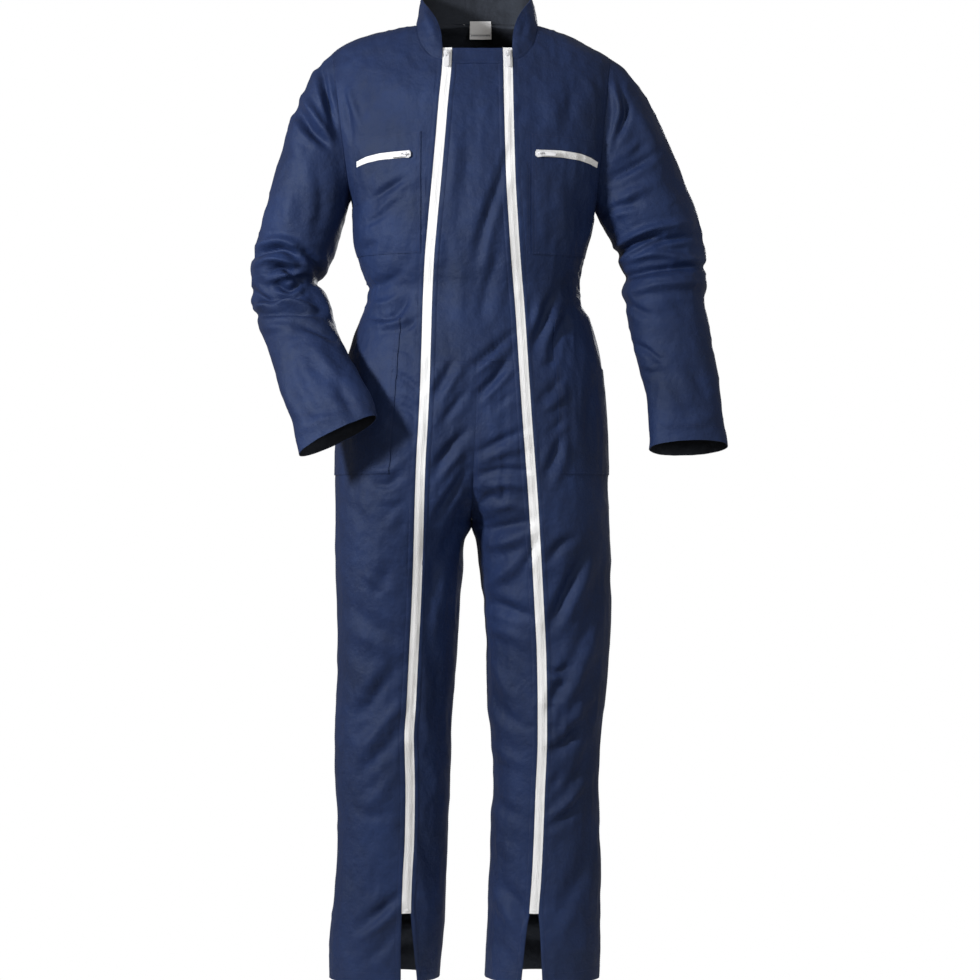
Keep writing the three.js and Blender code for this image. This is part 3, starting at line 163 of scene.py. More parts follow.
class Through:
    """A smooth function through a table's rows that never swings past them."""

    def __init__(self, x, y):
        self.sign = 1 if x[0] < x[-1] else -1
        self.x = self.sign * np.asarray(x, float)
        self.y = np.asarray(y, float)
        h = np.diff(self.x)
        slope = np.diff(self.y) / h
        tangent = np.empty_like(self.y)
        tangent[0] = slope[0]
        tangent[-1] = slope[-1]
        a, b = slope[:-1], slope[1:]
        before, after = h[:-1], h[1:]
        w1 = 2 * after + before
        w2 = after + 2 * before
        flat = a * b <= 0
        safe_a = np.where(flat, 1, a)
        safe_b = np.where(flat, 1, b)
        tangent[1:-1] = np.where(flat, 0, (w1 + w2) / (w1 / safe_a + w2 / safe_b))
        self.tangent = tangent

    def __call__(self, at):
        s = np.clip(self.sign * np.asarray(at, float), self.x[0], self.x[-1])
        i = np.clip(np.searchsorted(self.x, s) - 1, 0, len(self.x) - 2)
        h = self.x[i + 1] - self.x[i]
        t = (s - self.x[i]) / h
        t2, t3 = t * t, t * t * t
        return (
            self.y[i] * (2 * t3 - 3 * t2 + 1)
            + self.tangent[i] * h * (t3 - 2 * t2 + t)
            + self.y[i + 1] * (3 * t2 - 2 * t3)
            + self.tangent[i + 1] * h * (t3 - t2)
        )


def columns(rows, along):
    return {name: Through(rows[along], rows[name]) for name in rows if name != along}


body = columns(BODY, "z")
legs = columns(LEGS, "z")
zips = columns(ZIPS, "z")
slits = columns(SLITS, "z")


def run(points):
    """How far along a line each of its points is."""
    return np.concatenate([[0], np.cumsum(np.linalg.norm(np.diff(points, axis=0), axis=1))])


def pick(at, total, points):
    """The points that are so far along a line."""
    return np.stack([np.interp(at, total, points[:, k]) for k in range(points.shape[1])], -1)


def lerp(a, b, t):
    return a + (b - a) * t


def smooth(t):
    s = np.clip(t, 0, 1)
    return s * s * (3 - 2 * s)


def section(side, face, z):
    name = side.capitalize()
    split = z < FORK_TOP
    return (
        body[side](z),
        np.where(split, legs["ridge" + name](z), 0.0),
        np.where(split, legs["inner" + name](z), 0.0),
        np.where(split, legs["turn"](z), BELLY_TURN),
        body[face](z),
        body["round"](z),
    )


def cloth_point(side, face, share, z):
    """share is 0 on the fullest line, 1 at the side seam and -1 at the inner line."""
    share, z = np.broadcast_arrays(np.asarray(share, float), np.asarray(z, float))
    outer, ridge, inner, turn, reach, rounding = section(side, face, z)
    edge = (-SEAM if face == "front" else SEAM) / 2
    a = np.clip(share, 0, 1) * HALF_TURN
    across = np.sin(a) ** (2 / rounding)
    forward = np.maximum(np.cos(a), 0) ** (2 / rounding)
    b = np.clip(-share, 0, 1) * np.arcsin(turn)
    inside = inner + (-SEAM if side == "right" else SEAM) / 2
    seam = CROTCH_Y + edge
    outwards = share >= 0
    x = np.where(outwards, lerp(ridge, outer, across), lerp(ridge, inside, np.sin(b) / turn))
    y = np.where(outwards, lerp(edge, reach, forward), lerp(seam, reach, np.cos(b)))
    return np.stack([x, y, z], -1)


def share_at(side, face, x, z):
    x, z = np.broadcast_arrays(np.asarray(x, float), np.asarray(z, float))
    outer, ridge, inner, turn, reach, rounding = section(side, face, z)
    u = (x - ridge) / (outer - ridge)
    away = np.where(np.abs(inner - ridge) < 1e-9, 1, inner - ridge)
    v = np.clip((x - ridge) / away, 0, 1)
    outwards = np.arcsin(np.clip(u, 0, 1) ** (rounding / 2)) / HALF_TURN
    return np.where(u >= 0, outwards, -np.arcsin(turn * v) / np.arcsin(turn))


def cloth_at_x(face, x, z):
    x, z = np.broadcast_arrays(np.asarray(x, float), np.asarray(z, float))
    middle = np.where(z < FORK_TOP, legs["innerRight"](z), 0)
    right = cloth_point("right", face, share_at("right", face, x, z), z)
    left = cloth_point("left", face, share_at("left", face, x, z), z)
    return np.where((x < middle)[..., None], right, left)


SLEEVES = {"right": SLEEVE_RIGHT, "left": SLEEVE_LEFT}
ARMHOLES = {}
for _side, _rows in SLEEVES.items():
    _along = np.array([_rows["innerX"][0] - _rows["outerX"][0], 0, _rows["innerZ"][0] - _rows["outerZ"][0]])
    _along /= np.linalg.norm(_along)
    _normal = np.array([_along[2], 0, -_along[0]])
    if _normal[0] * _rows["outerX"][0] < 0:
        _normal = -_normal
    ARMHOLES[_side] = {name: _rows[name][0] for name in ("outerX", "outerZ", "innerX", "innerZ")}
    ARMHOLES[_side]["normal"] = _normal


def armhole_point(side, face, turn, shift):
    hole = ARMHOLES[side]
    t = (1 - np.cos(turn)) / 2
    x = lerp(hole["outerX"], hole["innerX"], t)
    z = lerp(hole["outerZ"], hole["innerZ"], t)
    u = np.minimum(np.abs(x / body[side](z)), 1)
    rounding = body["round"](z)
    y = body[face](z) * (1 - u**rounding) ** (1 / rounding)
    return np.stack([x, y, z], -1) + hole["normal"] * shift


def onto_cloth(p, face):
    def value(q):
        limit = np.where(q[..., 0] < 0, body["right"](q[..., 2]), body["left"](q[..., 2]))
        rounding = body["round"](q[..., 2])
        across = np.abs(q[..., 0] / limit) ** rounding
        forward = np.abs(q[..., 1] / body[face](q[..., 2])) ** rounding
        return (across + forward) ** (1 / rounding) - 1

    p = np.array(p, float)
    steps = 0.5 * np.eye(3)
    for _ in range(12):
        v = value(p)
        gradient = np.stack([value(p + s) - value(p - s) for s in steps], -1)
        size = np.linalg.norm(gradient, axis=-1)
        move = np.clip(-v / size, -12, 12)
        p += gradient / size[..., None] * move[..., None]
    return p


def along_at(points, shares, bend=0.0):
    """The points at those shares of a fine curve's length, where bends count as extra length."""
    step = np.diff(points, axis=0)
    length = np.linalg.norm(step, axis=1)
    direction = step / np.maximum(length, 1e-9)[:, None]
    turned = np.arccos(np.clip((direction[1:] * direction[:-1]).sum(1), -1, 1))
    length[1:] += bend * turned
    total = np.concatenate([[0], np.cumsum(length)])
    at = np.asarray(shares) * total[-1]
    return pick(at, total, points)


def zip_edge(side, z, away):
    outward = -1 if side == "right" else 1
    half = np.where(np.asarray(z) > ZIP_FOOT, ZIP_HALF, slits[side](z))
    return zips[side](z) + outward * away * (half + SEAM)


def neck_front(side, t):
    a = np.asarray(t) * HALF_TURN
    z = NECK_FRONT * np.cos(a)
    x = lerp(zip_edge(side, NECK_FRONT, 1), body[side](0), np.sin(a))
    u = np.minimum(np.abs(x / body[side](z)), 1)
    y = body["front"](z) * (1 - u**2) ** 0.5
    return np.stack([x, np.minimum(y, -SEAM / 2), z], -1)


def neck_back(side, t):
    a = np.asarray(t) * HALF_TURN
    y = np.maximum(BACK_NECK_DEPTH * np.sin(a), SEAM / 2)
    x = body[side](0) * np.maximum(np.cos(a), 0) ** 0.9
    return np.stack([x, y, BACK_NECK * np.sin(a)], -1)


SHOULDER_ROWS = 30
ARMHOLE_ROWS = 60
FINE = np.linspace(0, 1, 241)


def outer_edge(side, face):
    y = (-SEAM if face == "front" else SEAM) / 2
    hole = ARMHOLES[side]
    x = lerp(body[side](0), hole["outerX"], np.arange(SHOULDER_ROWS) / SHOULDER_ROWS)
    low, high = np.full(SHOULDER_ROWS, float(hole["outerZ"])), np.zeros(SHOULDER_ROWS)
    for _ in range(30):
        middle = (low + high) / 2
        wide = np.abs(body[side](middle)) > np.abs(x)
        low, high = np.where(wide, middle, low), np.where(wide, high, middle)
    seam = np.stack([x, np.full(SHOULDER_ROWS, y), (low + high) / 2], -1)
    arm = armhole_point(side, face, np.linspace(0, math.pi, ARMHOLE_ROWS + 1), -SEAM / 2)
    arm[:, 1] = np.minimum(arm[:, 1], y) if face == "front" else np.maximum(arm[:, 1], y)
    return np.concatenate([seam, arm])


def normals_of(grid, outwards, closed=False):
    if closed:
        across = np.roll(grid, -1, 1) - np.roll(grid, 1, 1)
    else:
        ahead = np.concatenate([grid[:, 1:], grid[:, -1:]], 1)
        across = ahead - np.concatenate([grid[:, :1], grid[:, :-1]], 1)
    down = np.concatenate([grid[1:], grid[-1:]]) - np.concatenate([grid[:1], grid[:-1]])
    n = np.cross(across, down)
    n /= np.maximum(np.linalg.norm(n, axis=-1), 1e-12)[..., None]
    wrong = (n * outwards).sum(-1) < 0
    n[wrong] *= -1
    return n


def in_plane(n, across):
    n -= across * (n * across).sum(-1)[..., None]
    n /= np.linalg.norm(n, axis=-1)[..., None]


X_AXIS, Y_AXIS, Z_AXIS = np.eye(3)


def from_middle(grid, side=None):
    z = grid[..., 2]
    middle = np.where(z < CLOSED_LEG, section(side, "front", z)[1], 0) if side else 0 * z
    return np.stack([grid[..., 0] - middle, grid[..., 1], np.where(z > CHEST_TOP, NECK_LEAN, 0)], -1)


# Folds and creases. The first are the frame's own largest folds.
def fold_height(folds, p, n):
    total = np.zeros(p.shape[:-1])
    for x0, z0, x1, z1, half, rise, face in folds:
        facing = (-1 if face == "front" else 1) * n[..., 1]
        dx, dz = x1 - x0, z1 - z0
        t = np.clip(((p[..., 0] - x0) * dx + (p[..., 2] - z0) * dz) / (dx * dx + dz * dz), 0, 1)
        away = np.hypot(p[..., 0] - x0 - t * dx, p[..., 2] - z0 - t * dz)
        total += rise * smooth(facing * 1.6) * np.exp(-((away / half) ** 2)) * (0.35 + 2.6 * t * (1 - t))
    return total


class Grain:
    """Smooth seeded noise in space, about -1 to 1."""

    def __init__(self, seed):
        self.values = np.random.RandomState(seed).uniform(-1, 1, (32, 32, 32))

    def __call__(self, p):
        cell = np.floor(p).astype(int)
        f = p - cell
        f = f * f * f * (f * (f * 6 - 15) + 10)
        total = 0
        for corner in np.ndindex(2, 2, 2):
            i = (cell + corner) % 32
            weight = np.prod(np.where(corner, f, 1 - f), -1)
            total = total + weight * self.values[i[..., 0], i[..., 1], i[..., 2]]
        return total


GRAINS = [Grain(seed) for seed in range(11, 17)]


def strand(points, count=14):
    """A smooth line through a few points."""
    p = np.array(points, float).reshape(-1, 2)
    if len(p) == 2:
        return p[0] + (p[1] - p[0]) * np.linspace(0, 1, 3)[:, None]
    q = np.concatenate([[2 * p[0] - p[1]], p, [2 * p[-1] - p[-2]]])
    out = []
    for i in range(1, len(q) - 2):
        for t in np.linspace(0, 1, max(3, count // (len(p) - 1)), endpoint=False):
            out.append(0.5 * (2 * q[i] + (q[i + 1] - q[i - 1]) * t
                       + (2 * q[i - 1] - 5 * q[i] + 4 * q[i + 1] - q[i + 2]) * t * t
                       + (3 * q[i] - q[i - 1] - 3 * q[i + 1] + q[i + 2]) * t**3))
    return np.array([*out, p[-1]])


def crease_height(uv, creases, narrow=1.0):
    """Troughs and ridges along lines in the plane: each has its points, half width and rise."""
    total = np.zeros(len(uv))
    for points, half, rise in creases:
        half = half * narrow
        line = strand(points)
        lo, hi = line.min(0) - 3.6 * half, line.max(0) + 3.6 * half
        near = np.flatnonzero(((uv > lo) & (uv < hi)).all(1))
        if not len(near):
            continue
        q = uv[near]
        a, d = line[:-1], np.diff(line, axis=0)
        size = np.linalg.norm(d, axis=1)
        start = np.concatenate([[0], np.cumsum(size)])
        rel = q[:, None] - a[None]
        t = np.clip((rel * d).sum(-1) / size**2, 0, 1)
        gap = rel - t[..., None] * d
        dist = np.linalg.norm(gap, axis=-1)
        k = dist.argmin(1)
        pick = np.arange(len(q))
        along = (start[k] + t[pick, k] * size[k]) / start[-1]
        side = np.sign(d[k, 0] * rel[pick, k, 1] - d[k, 1] * rel[pick, k, 0])
        s = side * dist[pick, k] / half
        swell = 0.12 + 0.88 * np.sin(np.pi * np.clip(along, 0.02, 0.98)) ** 0.7
        shape = np.exp(-s * s) - 0.38 * np.exp(-(((s - 1.75) / 1.1) ** 2))
        shape -= 0.2 * np.exp(-(((s + 1.9) / 1.2) ** 2))
        total[near] += rise * swell * shape
    return total


# Creases seen from the front, each as a line across the 980-pixel view, its half width in
# pixels and its rise in millimetres. Below 0 is a trough.
FRONT_BODY = [
    ((347, 84, 353, 104, 362, 130), 5, 3.2), ((341, 95, 346, 118, 351, 138), 4.5, -3.4),
    ((333, 139, 347, 141), 4, 2.2), ((360, 92, 372, 118), 9, 1.2), ((385, 84, 420, 96), 12, 0.9),
    ((373, 200, 390, 188, 407, 178), 4.5, -2.4), ((376, 215, 388, 203, 400, 195), 4.5, 1.8),
    ((366, 226, 384, 214), 4.5, -1.6), ((364, 252, 378, 240), 6, -1.8), ((372, 266, 398, 258), 7, 1.2),
    ((507, 155, 498, 185, 486, 220, 477, 255), 6, -3.2), ((499, 202, 490, 235, 482, 275), 5.5, 2.2),
    ((470, 108, 467, 165, 460, 222), 8, -1.4), ((455, 140, 451, 205), 6, 1.0),
    ((500, 248, 487, 288, 478, 322), 5, -2.2), ((463, 250, 458, 330), 8, 1.2),
    ((447, 230, 444, 300), 6, -1.0), ((508, 262, 500, 300, 494, 322), 5, 1.4),
    ((547, 88, 552, 118, 549, 136), 9, 2.0), ((574, 84, 570, 124), 9, -1.8), ((586, 78, 594, 96), 6, 1.4),
    ((592, 178, 600, 196, 602, 212), 5, -2.8), ((575, 190, 583, 225, 578, 262), 8, -1.8),
    ((560, 190, 564, 230), 9, 1.2), ((532, 170, 536, 240), 6, -1.2),
    ((372, 316, 384, 318, 396, 313, 407, 299), 4.5, -4.6), ((369, 304, 386, 303, 399, 293), 5, 3.2),
    ((354, 299, 368, 303), 4.5, -2.4), ((378, 328, 400, 323, 417, 311), 4.5, 2.0),
    ((366, 290, 386, 283, 403, 271), 5, -1.8), ((372, 276, 392, 268), 6, 1.2),
    ((404, 330, 416, 322), 4, -1.6), ((396, 372, 409, 382, 420, 392), 4, -2.4),
    ((398, 391, 410, 397, 419, 405), 3.5, 1.8), ((392, 402, 406, 409, 418, 418), 4, -2.0),
    ((392, 424, 404, 431, 414, 442), 4.5, -1.6), ((394, 346, 408, 352, 417, 361), 5, -1.4),
    ((372, 482, 387, 485, 402, 475), 5, -3.4), ((370, 470, 388, 470, 402, 461), 5, 2.0),
    ((376, 498, 392, 500, 404, 492), 5.5, 1.6), ((515, 330, 500, 344, 484, 357, 472, 367), 5, -3.2),
    ((509, 343, 492, 360, 476, 374), 5, 2.4), ((512, 354, 495, 377, 478, 394), 5, -2.8),
    ((515, 368, 498, 386, 482, 404), 4.5, 2.0), ((454, 358, 445, 376, 434, 396), 5, -2.4),
    ((463, 366, 450, 388, 438, 408), 4.5, 2.2), ((468, 388, 455, 405, 439, 427), 5, -2.4),
    ((437, 366, 430, 392), 5, 1.4), ((512, 392, 496, 408), 5, -1.6),
    ((467, 430, 452, 446, 436, 466), 5.5, -3.2), ((466, 448, 452, 463, 436, 484), 5.5, 2.6),
    ((468, 470, 455, 490, 440, 513), 5.5, -3.4), ((462, 492, 451, 512, 440, 532), 6, 2.4),
    ((466, 508, 458, 530, 446, 556), 6, -2.2), ((478, 452, 500, 441, 525, 430), 5, -3.0),
    ((480, 463, 503, 453, 527, 446), 5, 2.2), ((477, 476, 500, 470, 529, 471), 4.2, -3.2),
    ((480, 488, 505, 484, 528, 487), 5.5, 2.6), ((478, 504, 492, 497, 501, 501), 5, -2.2),
    ((484, 513, 508, 506, 526, 509), 6, 2.2), ((482, 530, 506, 527, 533, 521), 6.5, -4.4),
    ((486, 546, 505, 543, 529, 536), 7, 3.0), ((500, 478, 503, 492, 500, 505), 4, -1.6),
    ((487, 600, 506, 608, 531, 617), 7.5, -4.4), ((489, 584, 505, 574, 522, 559), 8, 3.4),
    ((520, 573, 529, 557, 537, 541), 5, -2.8), ((489, 629, 511, 634, 531, 646), 8, 2.4),
    ((554, 294, 545, 316, 534, 346), 6, -3.6), ((563, 300, 552, 331, 541, 362), 6.5, 2.8),
    ((570, 312, 560, 330, 552, 350), 6, -2.2), ((540, 300, 534, 330), 5, 1.4),
    ((541, 400, 552, 390, 561, 377), 5, -2.4), ((541, 413, 556, 402, 566, 392), 4.5, 1.8),
    ((548, 434, 556, 428, 562, 418), 4.5, -1.8), ((560, 438, 553, 459, 545, 477), 5, -2.8),
    ((567, 440, 562, 465, 553, 487), 5, 1.9), ((547, 366, 556, 357), 4.5, -1.6),
    ((594, 380, 588, 420, 590, 460), 7, -1.8), ((550, 561, 560, 546, 573, 538), 6, -3.4),
    ((596, 552, 581, 590, 560, 634), 8, 3.8), ((583, 556, 567, 590, 550, 626), 7, -3.6),
    ((603, 578, 591, 620, 575, 662), 8, -2.8), ((594, 628, 580, 668, 566, 702), 8.5, 2.6),
    ((549, 668, 557, 672, 567, 664), 3.6, -2.6), ((551, 679, 561, 680, 569, 674), 4, 1.4),
    ((571, 662, 558, 690, 548, 714), 7, -3.0), ((592, 688, 576, 714, 560, 737), 7, 2.6),
    ((577, 728, 563, 744, 550, 752), 7.5, -4.2), ((592, 742, 583, 766, 572, 786), 8, -2.4),
    ((586, 776, 570, 800, 552, 816), 6, 2.8), ((581, 800, 567, 815, 550, 827), 6, -2.4),
    ((562, 771, 551, 790), 6, -1.6), ((592, 846, 577, 880, 561, 908), 10, -2.4),
    ((598, 838, 589, 900), 9, 1.6), ((575, 905, 559, 940), 8, 1.4),
    ((491, 660, 505, 686, 521, 700), 8, 2.0), ((489, 691, 505, 714, 526, 726), 8, -2.6),
    ((492, 742, 508, 758, 524, 764), 8, 1.8), ((492, 792, 510, 812, 526, 818), 8, -1.8),
    ((494, 838, 516, 860), 9, 1.4), ((495, 896, 508, 916, 520, 934), 8, 2.4),
    ((500, 884, 516, 900, 526, 925), 7, -2.2), ((492, 936, 506, 952, 514, 972), 7, -1.6),
    ((393, 558, 381, 584, 372, 602), 9, -2.0), ((364, 573, 375, 582, 386, 592), 5, 1.8),
    ((345, 600, 372, 624, 397, 641), 10, -1.8), ((345, 624, 372, 641, 400, 650), 10, 1.6),
    ((397, 664, 376, 694, 357, 716), 9, -3.8), ((403, 701, 385, 722, 361, 750), 8.5, 3.6),
    ((405, 725, 386, 748, 362, 772), 8.5, -2.8), ((399, 768, 381, 792, 366, 806), 8, 1.8),
    ((352, 806, 374, 816, 396, 812), 7, -1.2), ((350, 660, 366, 680), 9, 1.2),
    ((398, 906, 380, 925, 357, 941), 6, 3.2), ((403, 890, 384, 908, 361, 923), 7, -2.8),
    ((400, 926, 383, 946, 363, 963), 7, -2.2), ((345, 880, 340, 930), 8, 1.4),
    ((345, 500, 362, 520, 372, 548), 9, -1.4), ((400, 510, 388, 530), 6, 1.4),
    ((437, 558, 432, 604), 8, -1.8), ((451, 556, 441, 600, 433, 640), 8, 2.0),
    ((428, 640, 438, 680, 434, 722), 8, -1.8), ((424, 758, 436, 776, 440, 796), 8, 1.6),
    ((424, 838, 435, 880), 8, -1.6), ((420, 700, 430, 740), 7, 1.2), ((421, 880, 432, 920), 7, 1.4),
]
FRONT_SLEEVE = [
    ((319, 66, 325, 90, 333, 116, 345, 139), 5, -4.2), ((303, 97, 316, 117, 333, 142), 5.5, 3.6),
    ((296, 108, 309, 129, 327, 144), 5.5, -4.4), ((329, 80, 333, 98, 341, 118), 4, 2.4),
    ((290, 130, 300, 160), 9, 1.4), ((318, 168, 322, 200, 318, 232), 8, -1.6),
    ((290, 190, 286, 230), 10, 1.2), ((255, 258, 267, 251, 284, 250, 300, 259), 4, -5.2),
    ((260, 246, 280, 240, 301, 247), 5, 3.4), ((268, 272, 282, 267, 296, 277), 4, -5.6),
    ((257, 267, 273, 260, 294, 264), 3.6, 3.0), ((276, 285, 290, 289, 303, 281), 4, -4.4),
    ((267, 281, 283, 277, 304, 271), 3.6, 3.0), ((251, 291, 265, 300, 285, 298, 304, 293), 4, -4.8),
    ((255, 309, 270, 301, 292, 303, 314, 309), 4, 4.0), ((257, 316, 285, 312, 320, 314), 4, -4.2),
    ((300, 249, 314, 262, 321, 281), 5, -3.6), ((314, 284, 325, 304, 331, 321), 6, 2.6),
    ((298, 324, 319, 331, 337, 340), 5, -2.6), ((262, 328, 290, 326), 5, 1.8),
    ((286, 352, 300, 388, 316, 418), 9, -1.6), ((309, 342, 326, 362, 337, 384), 8, 2.0),
    ((330, 372, 345, 398, 356, 420), 7, -1.6), ((276, 372, 292, 410), 8, 1.4),
    ((300, 428, 322, 420, 344, 416), 7, 1.0), ((598, 70, 606, 94, 609, 124, 602, 152), 5, -3.8),
    ((607, 74, 617, 98, 622, 121), 5, 2.8), ((618, 90, 625, 114, 613, 146), 5, -2.8),
    ((635, 112, 648, 130, 656, 152), 9, 2.2), ((608, 179, 634, 166, 657, 154), 5, -3.2),
    ((618, 200, 636, 192, 654, 184), 6, 2.0), ((612, 160, 630, 150, 640, 140), 4.5, 1.8),
    ((606, 212, 622, 206, 640, 204), 5, -2.0), ((665, 165, 680, 195), 9, -1.4),
    ((612, 262, 622, 250, 640, 240, 661, 236), 4.4, -5.4), ((624, 244, 652, 229, 691, 223), 5, 3.4),
    ((640, 248, 665, 240, 697, 235), 4, -3.8), ((624, 262, 658, 254, 702, 261), 5, 3.6),
    ((621, 279, 650, 271, 703, 267), 5, -5.2), ((624, 293, 660, 285, 703, 282), 6, 2.6),
    ((623, 301, 640, 311, 655, 318), 5, -1.8), ((635, 344, 650, 353, 663, 363), 4, -2.6),
    ((640, 363, 652, 367, 664, 366), 4, 1.8), ((670, 300, 690, 316), 8, -1.4),
    ((660, 380, 676, 410), 9, 1.2), ((690, 360, 706, 400), 9, -1.4),
    ((655, 420, 685, 424, 712, 418), 7, 1.0),
]
FRONT_COLLAR = [
    ((424, 6, 429, 22, 436, 40), 4, 1.6), ((430, 3, 437, 20, 443, 34), 3.6, -1.8),
    ((520, 8, 514, 24, 506, 42), 4, 1.4), ((526, 20, 520, 40), 3.5, -1.2),
    ((458, 57, 470, 60, 482, 56), 4, -0.9), ((484, 53, 498, 60), 4, 0.9),
]

# Creases on the far side, in millimetres across and up
BACK_BODY = [
    ((-222, -115, -193, -158, -150, -192), 13, -5.5), ((-208, -88, -180, -128, -136, -160), 13, 4.5),
    ((206, -118, 180, -160, 140, -198), 13, -5.0), ((196, -90, 168, -132, 122, -166), 14, 4.0),
    ((-205, -235, -150, -262, -92, -268), 14, -4.5), ((196, -240, 148, -276, 100, -284), 14, -4.5),
    ((-62, -150, -52, -240, -66, -340), 18, -3.2), ((38, -168, 56, -262, 46, -352), 18, -3.4),
    ((2, -118, 8, -200, 2, -300), 20, 2.4), ((-110, -200, -116, -300), 18, 2.2),
    ((112, -210, 108, -310), 18, 2.0), ((-158, -378, -92, -402, -18, -398), 15, 6.0),
    ((6, -386, 80, -404, 150, -382), 15, 6.4), ((-170, -350, -110, -366), 13, -3.6),
    ((40, -356, 110, -368, 165, -350), 13, -3.6), ((-60, -362, 10, -372), 13, -2.6),
    ((-120, -478, -60, -492, -10, -486), 12, 3.4), ((20, -486, 80, -494, 140, -480), 12, 3.6),
    ((-16, -806, -60, -744, -132, -702), 15, -6.5), ((18, -802, 62, -738, 130, -704), 15, -6.0),
    ((-14, -764, -52, -702, -112, -656), 14, 4.4), ((14, -760, 54, -694, 118, -660), 14, 4.8),
    ((-24, -850, -70, -880, -140, -872, -196, -842), 14, -6.0),
    ((-30, -828, -90, -850, -180, -815), 13, 4.2), ((22, -848, 76, -886, 150, -868, 190, -846), 14, -6.4),
    ((26, -822, 100, -848, 176, -820), 13, 4.4), ((-48, -930, -100, -950, -170, -925), 15, -3.6),
    ((36, -940, 90, -956, 160, -930), 15, -3.8), ((-206, -1058, -140, -1084, -58, -1068), 13, -6.5),
    ((-204, -1100, -142, -1122, -66, -1106), 13, -5.4), ((-200, -1080, -140, -1103, -70, -1087), 11, 4.4),
    ((192, -1044, 120, -1074, 40, -1056), 13, -6.2), ((188, -1088, 112, -1112, 44, -1098), 13, -5.6),
    ((190, -1066, 118, -1094, 44, -1078), 11, 4.2), ((-206, -1150, -150, -1172), 13, 3.0),
    ((60, -1140, 120, -1162, 176, -1150), 13, 3.0), ((-192, -1246, -130, -1290, -80, -1306), 17, -3.8),
    ((172, -1236, 108, -1288, 60, -1310), 17, -3.6), ((-96, -1340, -150, -1390), 16, 3.0),
    ((80, -1350, 140, -1396), 16, 3.0), ((-206, -1478, -140, -1500, -78, -1488), 13, -4.6),
    ((-200, -1500, -140, -1522, -84, -1512), 11, 3.6), ((184, -1468, 112, -1494, 44, -1480), 13, -4.4),
    ((180, -1492, 112, -1517, 46, -1504), 11, 3.4), ((-180, -560, -170, -640, -160, -700), 18, -3.0),
    ((178, -570, 170, -640, 150, -706), 18, -3.0), ((-70, -540, -84, -620), 20, 2.6),
    ((72, -550, 80, -630), 20, 2.6),
]
BACK_SLEEVE = [
    ((-262, -112, -246, -200, -236, -286), 12, -5.4), ((-282, -150, -262, -230, -246, -300), 13, 3.6),
    ((-330, -300, -290, -312, -250, -306), 13, -3.2), ((-366, -372, -318, -392, -256, -384), 10, -5.6),
    ((-368, -398, -318, -414, -262, -404), 9, 4.6), ((-370, -424, -318, -440, -262, -428), 10, -6.6),
    ((-366, -450, -312, -458, -256, -444), 9, 4.4), ((-360, -474, -306, -478, -250, -462), 10, -5.0),
    ((-346, -524, -300, -540, -240, -520), 12, -3.2), ((-318, -600, -280, -604, -220, -580), 12, 2.6),
    ((-300, -650, -250, -650), 12, -2.0), ((252, -124, 236, -212, 222, -296), 12, -5.0),
    ((276, -160, 254, -246, 236, -316), 13, 3.4), ((340, -286, 290, -306, 244, -310), 13, -3.2),
    ((370, -346, 312, -370, 250, -366), 10, -5.4), ((375, -372, 314, -394, 250, -388), 9, 4.4),
    ((377, -400, 316, -420, 250, -412), 10, -6.4), ((377, -428, 314, -444, 250, -436), 9, 4.2),
    ((377, -456, 316, -466, 254, -460), 10, -5.0), ((384, -530, 330, -540, 274, -520), 12, -3.0),
    ((392, -580, 336, -592, 284, -580), 12, 2.8), ((398, -640, 340, -650), 12, -2.2),
]
CREASES = {
    "body": (FRONT_BODY, BACK_BODY), "sleeve": (FRONT_SLEEVE, BACK_SLEEVE), "collar": (FRONT_COLLAR, []),
}

# Where the cloth crumples: a place, how far it reaches, how high, and the size of the crumples
CRUMPLES = [
    ((-312, -10, -418), 62, 2.4, (34, 30, 15)), ((318, -10, -405), 62, 2.2, (34, 30, 16)),
    ((-222, 0, -262), 46, 1.8, (16, 22, 24)), ((210, 0, -280), 46, 1.8, (16, 22, 24)),
    ((-172, 0, -438), 52, 1.8, (20, 20, 12)), ((168, 0, -440), 52, 1.8, (20, 20, 12)),
    ((-8, -70, -780), 80, 1.4, (24, 24, 24)), ((0, 80, -800), 80, 1.8, (26, 24, 18)),
    ((-140, 60, -1095), 90, 1.6, (34, 30, 18)), ((112, 60, -1090), 90, 1.6, (34, 30, 18)),
    ((-180, -120, -450), 60, 1.2, (26, 20, 16)), ((150, -60, -1120), 90, 1.4, (26, 26, 34)),
    ((-170, -60, -1120), 90, 0.9, (26, 26, 34)), ((0, 110, -430), 150, 1.0, (24, 30, 16)),
    ((-190, 0, -1520), 60, 1.2, (22, 22, 22)), ((160, 0, -1520), 60, 1.2, (22, 22, 22)),
]

# How strongly the creases and crumples show on each kind of piece
STRENGTH = {"body": (1.9, 1.8), "sleeve": (2.7, 2.9), "collar": (1.6, 0)}


def seen(p):
    """Where a point shows in the front view."""
    scale = VIEW_SCALE / (CAMERA_AWAY + p[:, 1])
    across, down = (p[:, 0] - CAMERA_X) * scale, (p[:, 2] - CAMERA_Z) * scale
    return np.stack([VIEW_MIDDLE + across, VIEW_MIDDLE - down], -1)


def unit(v):
    return v / np.linalg.norm(v)


SLIDER_LENGTH = 16
SLIDER_Z = -57
SLIDER_LIFT = 0.75
CALM_FROM_SLIDER = 13
CALM_FADE = 30
CALM_BY_ARMHOLE = 26
BAND_HALF = 17
POCKET_SLIDERS = {"right": (-114.5, -223.8, -136, -224.8), "left": (104.5, -222.7, 126, -222.6)}
POCKET_LIFT = 2 * LAP + PATCH_WALL


